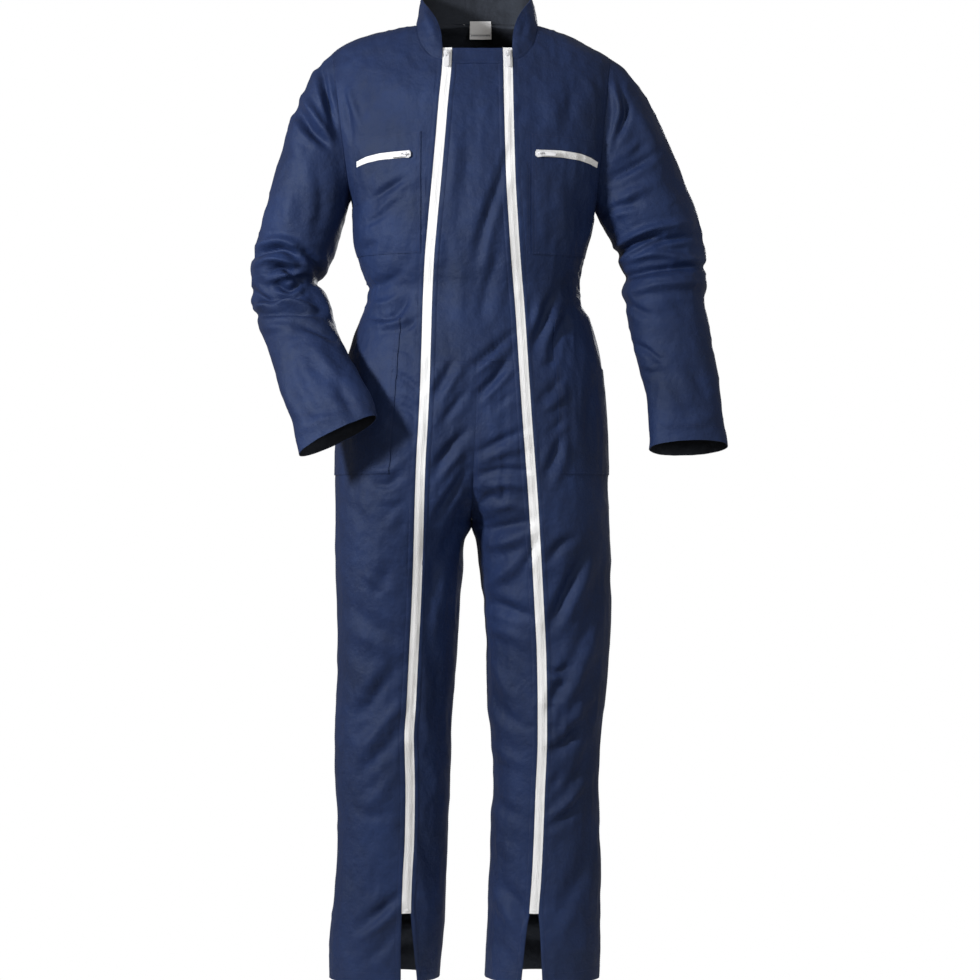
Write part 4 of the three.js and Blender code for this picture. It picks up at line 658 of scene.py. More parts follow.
def frame_at(point, along, lift):
    """A place on the cloth, as a matrix whose columns are the way across, along and out."""
    def near(way, by):
        return onto_cloth((point + way * by)[None], "front")[0]

    reach = SLIDER_LENGTH / 2
    here = near(along, 0)
    beside = near(np.cross(along, Y_AXIS), reach)
    v = unit(near(along, reach) - near(along, -reach))
    n = unit(np.cross(beside - here, v))
    if n[1] > 0:
        n = -n
    place = here + n * (lift + fold_height(FOLDS, here[None], n[None])[0])
    return place, np.stack([unit(np.cross(v, n)), v, n], -1)


SLIDERS = {}
for _side in ("right", "left"):
    _top = np.array([zips[_side](SLIDER_Z), body["front"](SLIDER_Z), SLIDER_Z], float)
    SLIDERS["zip_" + _side] = frame_at(_top, Z_AXIS, SLIDER_LIFT)
    _x, _z, _to_x, _to_z = POCKET_SLIDERS[_side]
    _in = unit(np.array([_x - _to_x, 0, _z - _to_z], float))
    _start = np.array([_x, body["front"](_z), _z], float)
    SLIDERS["pocket_" + _side] = frame_at(_start, _in, POCKET_LIFT + 1 + LAP)


ARMHOLE_LINES = np.concatenate([
    armhole_point(side, face, np.linspace(0, math.pi, 50)[None], 0).reshape(-1, 3)
    for side in ("right", "left") for face in ("front", "back")
])


def from_armhole(p):
    return np.min([np.linalg.norm(p - place, axis=1) for place in ARMHOLE_LINES], axis=0)


def relief(p, n, part):
    """How far the cloth stands out from its plain form."""
    shape = p.shape[:-1]
    p, n = p.reshape(-1, 3), n.reshape(-1, 3)
    front = smooth((0.35 - n[:, 1]) / 0.6)
    back = smooth((0.35 + n[:, 1]) / 0.6)
    seen_creases, far_creases = CREASES[part]
    large = fold_height(SLEEVE_FOLDS if part == "sleeve" else FOLDS, p, n)
    crease, crumple = STRENGTH[part]
    fine = front * crease_height(seen(p), seen_creases, 0.8)
    fine = crease * (fine + 0.7 * back * crease_height(p[:, [0, 2]], far_creases, 1.3))
    tall = np.array([15, 20, 48]) if part == "body" else np.array([26, 26, 22])
    ripple = 1 - 2 * np.abs(GRAINS[5](p / tall + 35))
    fine += 0.8 * GRAINS[0](p / 62 + 40) + 0.6 * GRAINS[1](p / 26 + 40) + 0.85 * ripple
    if part != "collar":
        for place, reach, rise, size in CRUMPLES:
            away = np.linalg.norm(p - np.array(place, float), axis=1) / reach
            near = np.flatnonzero(away < 2)
            ridged = 1 - 2 * np.abs(GRAINS[3](p[near] / np.array(size, float) + 50)) ** 0.8
            fine[near] += crumple * rise * np.exp(-2 * away[near] ** 2) * ridged
    if part == "body":
        band = np.exp(-(((p[:, 2] - WAIST_SEAM_BACK) / BAND_HALF) ** 2)) * smooth((n[:, 1] + 0.05) / 0.5)
        wave = np.sin(p[:, 0] / 2.3 + 2.2 * GRAINS[4](p / 21 + 60)) * (0.7 + 0.5 * GRAINS[5](p / 30 + 60))
        fine += band * (1.5 * wave - 1.2)
    keep = np.ones(len(p)) if part == "collar" else 0.1 + 0.9 * smooth(from_armhole(p) / CALM_BY_ARMHOLE)
    for place, _ in SLIDERS.values():
        away = np.linalg.norm(p - place, axis=1)
        keep *= smooth((away - CALM_FROM_SLIDER) / CALM_FADE)
    return (large + fine * keep).reshape(shape)


# Panels: grids of cloth points, rows down and columns across
EDGE = np.array([0, 0.8, 2.2, 4.6, 6.9, 7.8, 8.6, 10.2, 13.0])
TOPSTITCH = 7.8
TURN_RISE = 0.55
HEM_STITCH = 18
FRONT_COLS = 42
FRONT_ROWS = 320
BACK_COLS = 104
BACK_ROWS = 30
CENTRE_COLS = 18
CENTRE_ROWS = 130
INNER_COLS = 26
INNER_ROWS = 260
SEAT_COLS = 62
SEAT_ROWS = 205
SLEEVE_COLS = 116
SLEEVE_ROWS = 190
COLLAR_COLS = 67
COLLAR_ROWS = 24
COLLAR_BULGE = 2.2
SHOULDER_SEAM = (1, SHOULDER_ROWS)
ON_ARMHOLE = slice(SHOULDER_ROWS + 1, SHOULDER_ROWS + ARMHOLE_ROWS)
ARMHOLE_SEAM = (ON_ARMHOLE.start + 1, ON_ARMHOLE.stop)
SIDE_SEAM = ON_ARMHOLE.stop + 2


def spread(width, count, both=False):
    """Shares across each row, with close columns beside a stitched edge."""
    width = np.atleast_1d(width)[:, None]
    start = EDGE / width
    if both:
        rest = np.linspace(0, 1, count)[None, 1:-1]
        middle = lerp(start[:, -1:], 1 - start[:, -1:], rest)
        return np.concatenate([start, middle, 1 - start[:, ::-1]], 1)
    rest = np.linspace(0, 1, count)[None, 1:]
    return np.concatenate([start, lerp(start[:, -1:], 1, rest)], 1)


def lengths(grid, axis):
    step = np.linalg.norm(np.diff(grid, axis=axis), axis=-1)
    zero = np.zeros_like(np.take(step, [0], axis=axis))
    return np.concatenate([zero, np.cumsum(step, axis=axis)], axis=axis)


def turned_edge(rise, base, away):
    """Adds the doubled cloth beside a topstitched edge, puckered along its stitches."""
    stitch = away - TOPSTITCH
    step = TURN_RISE * (1 - smooth((away - 6.6) / 2.6)) - TURN_RISE * np.exp(-((stitch / 0.8) ** 2))
    ripple = 0.3 * GRAINS[2](base / np.array([40, 40, 4.5]) + 70) * np.exp(-((stitch / 6) ** 2))
    return rise + step + ripple - 0.5 * np.exp(-(away**2))


class Panel:
    """A piece of cloth raised by its folds and creases. Its edges are near, far, top and foot."""

    def __init__(self, base, normals, part, closed=False, near=False, far=False, lift=0.0):
        self.base, self.normals, self.closed = base, normals, closed
        rise = relief(base, normals, part) + lift
        across = lengths(base, 1)
        for stitched, away in ((near, across), (far, across[:, -1:] - across)):
            if stitched:
                rise = turned_edge(rise, base, away)
        self.grid = base + normals * rise[..., None]
        self.out = normals_of(self.grid, normals, closed)

    def inner(self, thick):
        return self.grid - self.normals * thick

    def beside(self, edge, inset, start=0, stop=None):
        """A line on the cloth, with its normals, that keeps a distance from one edge."""
        grid, out = self.grid, self.out
        if edge in ("top", "foot"):
            if self.closed:
                grid, out = (np.concatenate([g, g[:, :1]], 1) for g in (grid, out))
            grid, out = grid.swapaxes(0, 1), out.swapaxes(0, 1)
        step = -1 if edge in ("far", "foot") else 1
        grid, out = grid[start:stop, ::step], out[start:stop, ::step]
        across = lengths(grid, 1)
        return [np.array([pick(inset, a, line) for a, line in zip(across, g)]) for g in (grid, out)]

    def drawn(self, lines):
        """Lines given by their x and z, laid on the panel from the front."""
        points = [Vector(p) for p in self.grid.reshape(-1, 3)]
        faces = grid_quads(*self.grid.shape[:2])[:, [0, 3, 2, 1]].tolist()
        tree = BVHTree.FromPolygons(points, faces)
        laid = []
        for line in np.array(lines, float):
            fine = [lerp(a, b, t) for a, b in zip(line, line[1:]) for t in np.linspace(0, 1, 24)]
            hits = [tree.ray_cast(Vector((x, -400, z)), Vector((0, 1, 0))) for x, z in fine]
            places, normals = (np.array([h[k] for h in hits if h[0] is not None]) for k in (0, 1))
            normals[normals[:, 1] > 0] *= -1
            laid.append((places, normals))
        return laid


def curve_at(points, us):
    total = run(points)
    return pick(us * total[-1], total, points)


def coons(top, foot, near, far, us, face):
    """A patch between four edges, laid onto the cloth; top and foot are fine curves."""
    rows = len(near) - 1
    v = (np.arange(rows + 1) / rows)[:, None, None]
    u = us[..., None]
    p = (
        curve_at(top, us) * (1 - v) + curve_at(foot, us) * v
        + near[:, None] * (1 - u) + far[:, None] * u
        - top[0] * (1 - u) * (1 - v) - top[-1] * u * (1 - v)
        - foot[0] * (1 - u) * v - foot[-1] * u * v
    )
    p[1:-1, 1:-1] = onto_cloth(p[1:-1, 1:-1], face)
    p[0], p[-1], p[:, 0], p[:, -1] = curve_at(top, us[0]), curve_at(foot, us[-1]), near, far
    return p


def heights(start, end, rows):
    return np.linspace(start, end, rows + 1)

def side_normals(n, col, side):
    """Turns a side edge's normals square to the armhole beside it, or to the side seam."""
    in_plane(n[: ON_ARMHOLE.start, col], Y_AXIS)
    in_plane(n[ON_ARMHOLE, col], ARMHOLES[side]["normal"])
    in_plane(n[ON_ARMHOLE.stop :, col], Y_AXIS)


def inside_normals(n, z):
    """Does the same at the last column, for the middle seam and the inside leg seam."""
    above = z > CROTCH_Z
    for rows, axis in ((above, X_AXIS), (~above, Y_AXIS)):
        edge = n[rows, -1]
        in_plane(edge, axis)
        n[rows, -1] = edge


def outer_front(side):
    far = outer_edge(side, "front")
    top = neck_front(side, FINE)
    armpit = ARMHOLES[side]["innerZ"]
    chest = heights(NECK_FRONT, CHEST_ROW, SHOULDER_ROWS + ARMHOLE_ROWS)
    near = cloth_at_x("front", zip_edge(side, chest, 1), chest)

    def across_at(z, us):
        z = np.atleast_1d(np.asarray(z, float))[:, None]
        start = share_at(side, "front", zip_edge(side, z, 1), z)
        far_z = lerp(armpit, HEM, (z - CHEST_ROW) / (HEM - CHEST_ROW))
        return cloth_point(side, "front", lerp(start, 1, us), lerp(z, far_z, us))

    foot = across_at(CHEST_ROW, FINE[None])[0]
    foot[-1], foot[0], top[0] = far[-1], near[-1], near[0]
    wide = np.linalg.norm(far - near, axis=1) * 1.06
    upper = coons(top, foot, near, far, spread(wide, FRONT_COLS), "front")
    lower_z = heights(CHEST_ROW, HEM, FRONT_ROWS)[1:]
    wide = lengths(across_at(lower_z, FINE[None, ::4]), 1)[:, -1]
    grid = np.concatenate([upper, across_at(lower_z, spread(wide, FRONT_COLS))])
    n = normals_of(grid, from_middle(grid, side))
    side_normals(n, -1, side)
    in_plane(n[:, 0], X_AXIS)
    return Panel(grid, n, "body", near=True)


def between_zips(z, us):
    z = np.asarray(z, float)[:, None]
    return cloth_at_x("front", lerp(zip_edge("right", z, -1), zip_edge("left", z, -1), us), z)


def centre_front():
    z = heights(BAND_FOOT - SEAM, WAIST_SEAM_FRONT + SEAM / 2, CENTRE_ROWS)
    wide = zip_edge("left", z, -1) - zip_edge("right", z, -1)
    grid = between_zips(z, spread(wide, CENTRE_COLS, both=True))
    n = normals_of(grid, from_middle(grid))
    in_plane(n[-1], Z_AXIS)
    in_plane(n[:, 0], X_AXIS)
    in_plane(n[:, -1], X_AXIS)
    return Panel(grid, n, "body", near=True, far=True)


def inner_front(side):
    z = heights(WAIST_SEAM_FRONT - SEAM / 2, HEM, INNER_ROWS)
    rows = []
    for level in z:
        start = share_at(side, "front", zip_edge(side, level, -1), level)
        fine = cloth_point(side, "front", lerp(start, -1, FINE), level)
        width = lengths(fine[None], 1)[0, -1]
        rows.append(along_at(fine, spread(width, INNER_COLS)[0]))
    grid = np.array(rows)
    n = normals_of(grid, from_middle(grid, side))
    in_plane(n[0], Z_AXIS)
    in_plane(n[:, 0], X_AXIS)
    inside_normals(n, z)
    return Panel(grid, n, "body", near=True)


def upper_back():
    near, far = outer_edge("right", "back"), outer_edge("left", "back")
    top = np.concatenate([neck_back("right", FINE), neck_back("left", FINE)[::-1][1:]])
    us = np.linspace(0, 1, BACK_COLS + 1)

    def across_at(right_z, left_z, us):
        right_z, left_z = (np.atleast_1d(np.asarray(v, float))[:, None] for v in (right_z, left_z))
        t = 2 * us - 1
        z = lerp(right_z, left_z, us)
        right = cloth_point("right", "back", np.abs(t), z)
        left = cloth_point("left", "back", np.abs(t), z)
        return np.where((t < 0)[..., None], right, left)

    pits = ARMHOLES["right"]["innerZ"], ARMHOLES["left"]["innerZ"]
    along = np.linspace(0, 1, 481)
    foot = across_at(*pits, along[None])[0]
    foot[0], foot[-1], top[0], top[-1] = near[-1], far[-1], near[0], far[0]
    upper = coons(top, foot, near, far, np.repeat(us[None], len(near), 0), "back")
    t = heights(0, 1, BACK_ROWS)[1:]
    end = WAIST_SEAM_BACK + SEAM / 2
    total = run(foot)
    shares = np.interp(us * total[-1], total, along)[None]
    lower = across_at(lerp(pits[0], end, t), lerp(pits[1], end, t), shares)
    grid = np.concatenate([upper, lower])
    n = normals_of(grid, from_middle(grid))
    side_normals(n, 0, "right")
    side_normals(n, -1, "left")
    in_plane(n[-1], Z_AXIS)
    return Panel(grid, n, "body")


def leg_back(side):
    z = heights(WAIST_SEAM_BACK - SEAM / 2, HEM, SEAT_ROWS)
    rows = []
    for level in z:
        inmost = -1 if level < FORK_TOP else 0
        fine = cloth_point(side, "back", lerp(1, inmost, FINE), level)
        row = along_at(fine, np.linspace(0, 1, SEAT_COLS), BEND)
        if level >= FORK_TOP:
            row[-1, 0] = (-1 if side == "right" else 1) * SEAM / 2
        rows.append(row)
    grid = np.array(rows)
    n = normals_of(grid, from_middle(grid, side))
    in_plane(n[0], Z_AXIS)
    in_plane(n[:, 0], Y_AXIS)
    inside_normals(n, z)
    return Panel(grid, n, "body")


def sleeve(side):
    rows_of = SLEEVES[side]
    count = len(rows_of["y"])
    at = {name: Through(np.arange(count), rows_of[name]) for name in rows_of}
    turn = (np.arange(SLEEVE_COLS) / SLEEVE_COLS * 2 * math.pi)[None]

    def ring(s):
        c, d = np.cos(turn), np.sin(turn)
        across = (1 + np.sign(c) * np.abs(c) ** (2 / SLEEVE_ROUND)) / 2
        forward = np.sign(d) * np.abs(d) ** (2 / SLEEVE_ROUND)
        return np.stack([
            lerp(at["innerX"](s), at["outerX"](s), across),
            at["y"](s) - at["depth"](s) * forward,
            lerp(at["innerZ"](s), at["outerZ"](s), across) + at["rise"](s) * forward,
        ], -1)

    s = np.linspace(0, count - 1, SLEEVE_ROWS)[:, None]
    front = armhole_point(side, "front", np.minimum(turn, 2 * math.pi - turn), SEAM / 2)
    back = armhole_point(side, "back", np.minimum(turn, 2 * math.pi - turn), SEAM / 2)
    hole = np.where((turn <= math.pi)[..., None], front, back)
    own = (1 - smooth(s / SLEEVE_BLEND))[..., None]
    grid = ring(s) + (hole - ring(np.zeros((1, 1)))) * own
    n = normals_of(grid, grid - grid.mean(1, keepdims=True), closed=True)
    in_plane(n[0], ARMHOLES[side]["normal"])
    return Panel(grid, n, "sleeve", closed=True)


def collar():
    sides = []
    for side in ("right", "left"):
        sign = -1 if side == "right" else 1
        corner = abs(zip_edge(side, ZIP_TOP, 1)) - COLLAR_TOP["x"][0]
        at = columns(COLLAR_TOP, "along")
        seam = np.concatenate([neck_front(side, FINE), neck_back(side, FINE)[1:]])
        t = np.linspace(0, 1, COLLAR_COLS)
        base = along_at(seam, t)
        beside = corner * np.maximum(1 - t / COLLAR_FLARE, 0)
        tip = np.stack([sign * (at["x"](t) + beside), at["y"](t), at["z"](t)], -1)
        up = tip - base
        up /= np.linalg.norm(up, axis=1)[:, None]
        sides.append((base + up * 2 * SEAM, tip))
    base = np.concatenate([sides[0][0], sides[1][0][::-1][1:]])
    tip = np.concatenate([sides[0][1], sides[1][1][::-1][1:]])
    v = heights(0, 1, COLLAR_ROWS)[:, None, None]
    grid = lerp(tip[None], base[None], v)
    bulge = COLLAR_BULGE * np.sin(np.pi * v[..., 0])
    n = normals_of(grid, np.stack([grid[..., 0], grid[..., 1] + 10, 0 * grid[..., 0]], -1))
    in_plane(n[:, 0], X_AXIS)
    in_plane(n[:, -1], X_AXIS)
    return Panel(grid, n, "collar", lift=bulge * np.ones(grid.shape[1]))


def front_band():
    z = heights(ZIP_TOP - 1, BAND_FOOT, 9)
    us = np.repeat(np.linspace(0, 1, 27)[None], len(z), 0)
    grid = between_zips(z, us)
    n = normals_of(grid, from_middle(grid))
    rise = 0.5 * np.exp(-(((heights(0, 27, 9) - 25) / 2.5) ** 2))[:, None]
    return Panel(grid, n, "collar", lift=rise)


def ruled(side, near_line, far_line, rows, cols):
    """A patch of the outer front between two lines given by x and z."""
    ends = []
    for line in (near_line, far_line):
        line = np.array(line, float)
        total = run(line)
        x, z = pick(np.linspace(0, total[-1], rows + 1), total, line).T
        *_, reach, rounding = section(side, "front", z)
        most = np.arccos((POCKET_BACK / reach) ** (rounding / 2)) / HALF_TURN
        ends.append((np.minimum(share_at(side, "front", x, z), most)[:, None], z[:, None]))
    u = np.linspace(0, 1, cols + 1)[None]
    share, z = (lerp(near, far, u) for near, far in zip(*ends))
    grid = cloth_point(side, "front", share, z)
    # Normals of the cloth itself, from small steps over it
    step = 2
    ahead = cloth_point(side, "front", share + 0.01, z) - cloth_point(side, "front", share - 0.01, z)
    down = cloth_point(side, "front", share, z - step) - cloth_point(side, "front", share, z + step)
    n = np.cross(ahead, down)
    n /= np.linalg.norm(n, axis=-1)[..., None]
    n[(n * from_middle(grid, side)).sum(-1) < 0] *= -1
    return grid, n


# Meshes
CLOTH, THREAD, TAPE, TEETH, PAINTED_SHADE_INSIDE = range(5)


def grid_quads(rows, cols, closed=False):
    r, c = np.meshgrid(np.arange(rows - 1), np.arange(cols if closed else cols - 1), indexing="ij")
    right = (c + 1) % cols
    quad = np.stack([r * cols + c, (r + 1) * cols + c, (r + 1) * cols + right, r * cols + right], -1)
    return quad.reshape(-1, 4)


def grid_uv(grid, closed=False):
    """Millimetres across and down, for each corner of each quad."""
    across = lengths(grid, 1)
    if closed:
        last = np.linalg.norm(grid[:, 0] - grid[:, -1], axis=1)
        across = np.concatenate([across, across[:, -1:] + last[:, None]], 1)
    middle = grid.shape[1] // 2
    down = np.repeat(lengths(grid, 0)[:, middle : middle + 1], across.shape[1], 1)
    across = across - across[:, middle : middle + 1]
    uv = np.stack([across, down], -1)
    corners = [uv[:-1, :-1], uv[1:, :-1], uv[1:, 1:], uv[:-1, 1:]]
    return np.stack(corners, 2).reshape(-1, 4, 2)


def flat_uv(corners):
    return np.stack([corners[..., 0] + corners[..., 1], -corners[..., 2]], -1)


def shell(outer, inner, closed=False, slot=CLOTH, under=None):
    """A wall between two grids, with its rims."""
    rows, cols = outer.shape[:2]
    quads = grid_quads(rows, cols, closed)
    uv = grid_uv(outer, closed)
    n = rows * cols
    rim, edge = [], []
    spans = cols if closed else cols - 1
    for c in range(spans):
        d = (c + 1) % cols
        rim.append((c, d, n + d, n + c))
        last = (rows - 1) * cols
        rim.append((last + d, last + c, n + last + c, n + last + d))
        edge += [(c, d), (last + c, last + d)]
    if not closed:
        for r in range(rows - 1):
            a, b = r * cols, (r + 1) * cols
            rim.append((b, a, n + a, n + b))
            e, f = a + cols - 1, b + cols - 1
            rim.append((e, f, n + f, n + e))
            edge += [(a, b), (e, f)]
    rim = np.array(rim)
    points = np.concatenate([outer.reshape(-1, 3), inner.reshape(-1, 3)])
    return {
        "points": points,
        "quads": np.concatenate([quads, quads[:, ::-1] + n, rim]),
        "uv": np.concatenate([uv, uv[:, ::-1], flat_uv(points[rim])]),
        "slot": np.repeat([slot, slot if under is None else under, slot], [len(quads), len(quads), len(rim)]),
        "soft": True,
        "sharp": np.array([*edge, *[(a + n, b + n) for a, b in edge]]),
    }


def lap(edge, before, normals, thick, closed=False):
    """The turned edge at the bottom of a seam's groove, which goes a little way into both walls."""
    way = edge - before
    way /= np.linalg.norm(way, axis=1)[:, None]
    upper = np.stack([edge + way * s - normals * thick * 0.35 for s in (-0.5, 0.8)])
    lower = upper - normals * thick * 0.3
    if (np.cross(way[:-1], edge[1:] - edge[:-1]) * normals[:-1]).sum() < 0:
        upper, lower = upper[::-1], lower[::-1]
    return shell(upper, lower, closed)

def stitches(points, normals, pitch=3.5, length=2.6, radius=0.36, slot=THREAD):
    """A row of sewn stitches along a line on the cloth."""
    total = run(points)
    count = int(total[-1] / pitch)
    if count < 1:
        return None
    at = (np.arange(count) + 0.5) * total[-1] / count
    rings = []
    for along, lift, wide in ((-0.5, -0.25, 0.6), (0, 0.3, 1), (0.5, -0.25, 0.6)):
        s = at + along * length
        p, n = pick(s, total, points), pick(s, total, normals)
        n /= np.linalg.norm(n, axis=1)[:, None]
        beside = np.cross(pick(s + 0.6, total, points) - pick(s - 0.6, total, points), n)
        beside /= np.maximum(np.linalg.norm(beside, axis=1), 1e-9)[:, None]
        r = radius * wide
        rings.append(np.stack([p + n * lift + beside * x * r + n * y * r * 0.8
                               for x, y in ((1, 0), (0, 1), (-1, 0), (0, -1))], 1))
    one = [(k + i, k + (i + 1) % 4, k + 4 + (i + 1) % 4, k + 4 + i) for k in (0, 4) for i in range(4)]
    one += [(0, 3, 2, 1), (8, 9, 10, 11)]
    return repeated(np.concatenate(rings, 1), one, slot, True)


def blocks(places):
    """Small tapered blocks: places holds, for each, its middle, three axes and half sizes."""
    corners = ((-1, -1), (1, -1), (1, 1), (-1, 1))
    clouds = []
    for middle, u, v, n, (a, b, c) in places:
        low = [middle + x * a * u + y * b * v - c * n for x, y in corners]
        high = [middle + x * a * 0.82 * u + y * b * 0.72 * v + c * n for x, y in corners]
        clouds.append(low + high)
    one = [(0, 1, 5, 4), (1, 2, 6, 5), (2, 3, 7, 6), (3, 0, 4, 7), (4, 5, 6, 7), (3, 2, 1, 0)]
    return repeated(np.array(clouds), one, TEETH, False)


def repeated(clouds, one, slot, soft):
    """Many small forms, which share the same faces."""
    count, size = clouds.shape[:2]
    quads = (np.arange(count)[:, None, None] * size + np.array(one)[None]).reshape(-1, 4)
    points = clouds.reshape(-1, 3)
    return {"points": points, "quads": quads, "uv": None, "slot": slot, "soft": soft, "sharp": None}


def add_object(name, data):
    made = bpy.data.objects.new(name, data)
    bpy.context.scene.collection.objects.link(made)
    return made


def mesh_of(name, parts, materials):
    parts = [p for p in parts if p]
    starts = np.cumsum([0] + [len(p["points"]) for p in parts])
    points = np.concatenate([p["points"] for p in parts]) / 1000
    quads = np.concatenate([p["quads"] + s for p, s in zip(parts, starts)])
    mesh = bpy.data.meshes.new(name)
    mesh.vertices.add(len(points))
    mesh.vertices.foreach_set("co", points.astype(np.float32).ravel())
    mesh.loops.add(quads.size)
    mesh.loops.foreach_set("vertex_index", quads.astype(np.int32).ravel())
    mesh.polygons.add(len(quads))
    mesh.polygons.foreach_set("loop_start", np.arange(0, quads.size, 4, dtype=np.int32))
    slot_of, soft = (np.concatenate([np.broadcast_to(p[key], len(p["quads"])) for p in parts])
                     for key in ("slot", "soft"))
    used = sorted(set(slot_of.tolist()))
    mesh.polygons.foreach_set("material_index", np.searchsorted(used, slot_of).astype(np.int32))
    mesh.polygons.foreach_set("use_smooth", soft)
    mesh.update(calc_edges=True)
    uv = np.concatenate([flat_uv(p["points"][p["quads"]]) if p["uv"] is None else p["uv"] for p in parts])
    mesh.uv_layers.new(name="UVMap").data.foreach_set("uv", (uv / 1000).astype(np.float32).ravel())
    sharp = [p["sharp"] + s for p, s in zip(parts, starts) if p["sharp"] is not None]
    if sharp:
        wanted = np.sort(np.concatenate(sharp), 1)
        ends = np.empty(2 * len(mesh.edges), np.int32)
        mesh.edges.foreach_get("vertices", ends)
        ends = np.sort(ends.reshape(-1, 2), 1).astype(np.int64)
        mask = np.isin(ends @ (len(points), 1), wanted @ (len(points), 1))
        mesh.attributes.new("sharp_edge", "BOOLEAN", "EDGE").data.foreach_set("value", mask)
    for index in used:
        mesh.materials.append(materials[index])
    mesh.validate()
    return add_object(name, mesh)


# Materials
def srgb(*levels):
    return (*[((v / 255 + 0.055) / 1.055) ** 2.4 if v > 10 else v / 255 / 12.92 for v in levels], 1.0)


def material(name):
    made = bpy.data.materials.new(name)
    made.use_nodes = True
    return made, made.node_tree, made.node_tree.nodes["Principled BSDF"]


def connect(tree, made, inputs):
    """Sets a node's inputs, from other nodes or to plain values."""
    for key, value in inputs.items():
        if isinstance(value, bpy.types.NodeSocket):
            tree.links.new(value, made.inputs[key])
        else:
            made.inputs[key].default_value = value


def node(tree, kind, inputs=None, **settings):
    made = tree.nodes.new("ShaderNode" + kind)
    for key, value in settings.items():
        setattr(made, key, value)
    connect(tree, made, inputs or {})
    return made


def ramp(tree, factor, stops):
    made = node(tree, "ValToRGB", {"Fac": factor})
    first, last = made.color_ramp.elements
    first.position, first.color = stops[0]
    last.position, last.color = stops[-1]
    for place, colour in stops[1:-1]:
        made.color_ramp.elements.new(place).color = colour
    return made.outputs["Color"]


def mix(tree, factor, a, b):
    return node(tree, "Mix", {0: factor, 6: a, 7: b}, data_type="RGBA").outputs[2]


def noise(tree, vector, scale, detail, rough):
    inputs = {"Vector": vector, "Scale": scale, "Detail": detail, "Roughness": rough}
    return node(tree, "TexNoise", inputs).outputs["Fac"]


def waves(tree, vector, direction, scale, distortion, detail):
    inputs = {"Vector": vector, "Scale": scale, "Distortion": distortion}
    inputs |= {"Detail": detail, "Detail Scale": detail}
    return node(tree, "TexWave", inputs, bands_direction=direction).outputs["Color"]


def between(tree, value, low, high):
    return node(tree, "MapRange", {"Value": value, "To Min": low, "To Max": high}).outputs["Result"]


def bump(tree, height, strength, distance, **below):
    inputs = {"Height": height, "Strength": strength, "Distance": distance, **below}
    return node(tree, "Bump", inputs).outputs["Normal"]


def twill(name, dark, middle, light):
    """Polyester-cotton twill: fine diagonal ribs, slight mottling and a soft sheen."""
    made, tree, shader = material(name)
    coordinates = node(tree, "TexCoord").outputs
    uv, place = coordinates["UV"], coordinates["Object"]
    ribs = waves(tree, uv, "DIAGONAL", 330.0, 1.6, 2.0)
    yarn = noise(tree, uv, 900.0, 3.0, 0.6)
    slub = noise(tree, place, 70.0, 3.0, 0.6)
    base = ramp(tree, noise(tree, place, 9.0, 5.0, 0.55), [(0.3, dark), (0.5, middle), (0.72, light)])
    for share, source, edge in ((0.16, slub, 0.35), (0.22, ribs, 0.15), (0.16, yarn, 0.35)):
        base = mix(tree, share, base, ramp(tree, source, [(edge, dark), (1 - edge, light)]))
    worn = bump(tree, noise(tree, place, 52.0, 4.0, 0.55), 0.7, 0.004)
    for height, strength, distance in ((slub, 0.3, 0.0012), (yarn, 0.25, 0.0002), (ribs, 0.5, 0.0003)):
        worn = bump(tree, height, strength, distance, Normal=worn)
    connect(tree, shader, {
        "Base Color": base, "Roughness": between(tree, slub, 0.54, 0.72), "Normal": worn,
        "Specular IOR Level": 0.36, "Specular Tint": (0.62, 0.76, 1.0, 1.0),
        "Sheen Weight": 0.03, "Sheen Roughness": 0.45, "Sheen Tint": srgb(150, 165, 205),
    })
    return made


def plain(name, dark, light, scale, rough, specular=0.5, metallic=0.0):
    """A fine woven or moulded surface with slight variation."""
    made, tree, shader = material(name)
    place = node(tree, "TexCoord").outputs["Object"]
    fine = noise(tree, place, scale, 4.0, 0.6)
    stops = [(0.3, dark), (0.7, light)]
    base = mix(tree, 0.3, ramp(tree, fine, stops), ramp(tree, noise(tree, place, 25.0, 3.0, 0.5), stops))
    connect(tree, shader, {
        "Base Color": base, "Roughness": between(tree, fine, rough - 0.08, rough + 0.1),
        "Normal": bump(tree, fine, 0.4, 0.0001), "Specular IOR Level": specular, "Metallic": metallic,
    })
    return made


def ribbed(name, dark, light, scale, rough):
    """Woven tape: fine ribs along its length."""
    made, tree, shader = material(name)
    uv = node(tree, "TexCoord").outputs["UV"]
    woven = mix(tree, 0.5, waves(tree, uv, "X", scale, 0.4, 1.0), waves(tree, uv, "Y", scale * 1.3, 0.4, 1.0))
    connect(tree, shader, {
        "Base Color": ramp(tree, woven, [(0.2, dark), (0.8, light)]), "Roughness": rough,
        "Normal": bump(tree, woven, 0.5, 0.00025), "Specular IOR Level": 0.3,
    })
    return made


MATERIALS = {
    CLOTH: twill("navy_twill", srgb(12, 22, 50), srgb(17, 31, 68), srgb(26, 44, 88)),
    # The inner faces take a darker, greyer copy of the twill: painted shade for the suit's shadowed inside.
    PAINTED_SHADE_INSIDE: twill("navy_twill_painted_shade_inside", srgb(25, 26, 30), srgb(30, 31, 36), srgb(37, 38, 44)),
    THREAD: plain("navy_thread", srgb(19, 31, 66), srgb(31, 46, 90), 900.0, 0.6, 0.4),
    TAPE: ribbed("zip_tape", srgb(232, 234, 238), srgb(250, 251, 252), 420.0, 0.75),
    TEETH: plain("zip_teeth", srgb(240, 241, 244), srgb(253, 253, 253), 300.0, 0.38),
}
METAL = plain("zip_metal", srgb(214, 216, 222), srgb(240, 241, 245), 220.0, 0.36, metallic=0.15)
LABEL = ribbed("label", srgb(214, 215, 219), srgb(246, 246, 248), 300.0, 0.7)


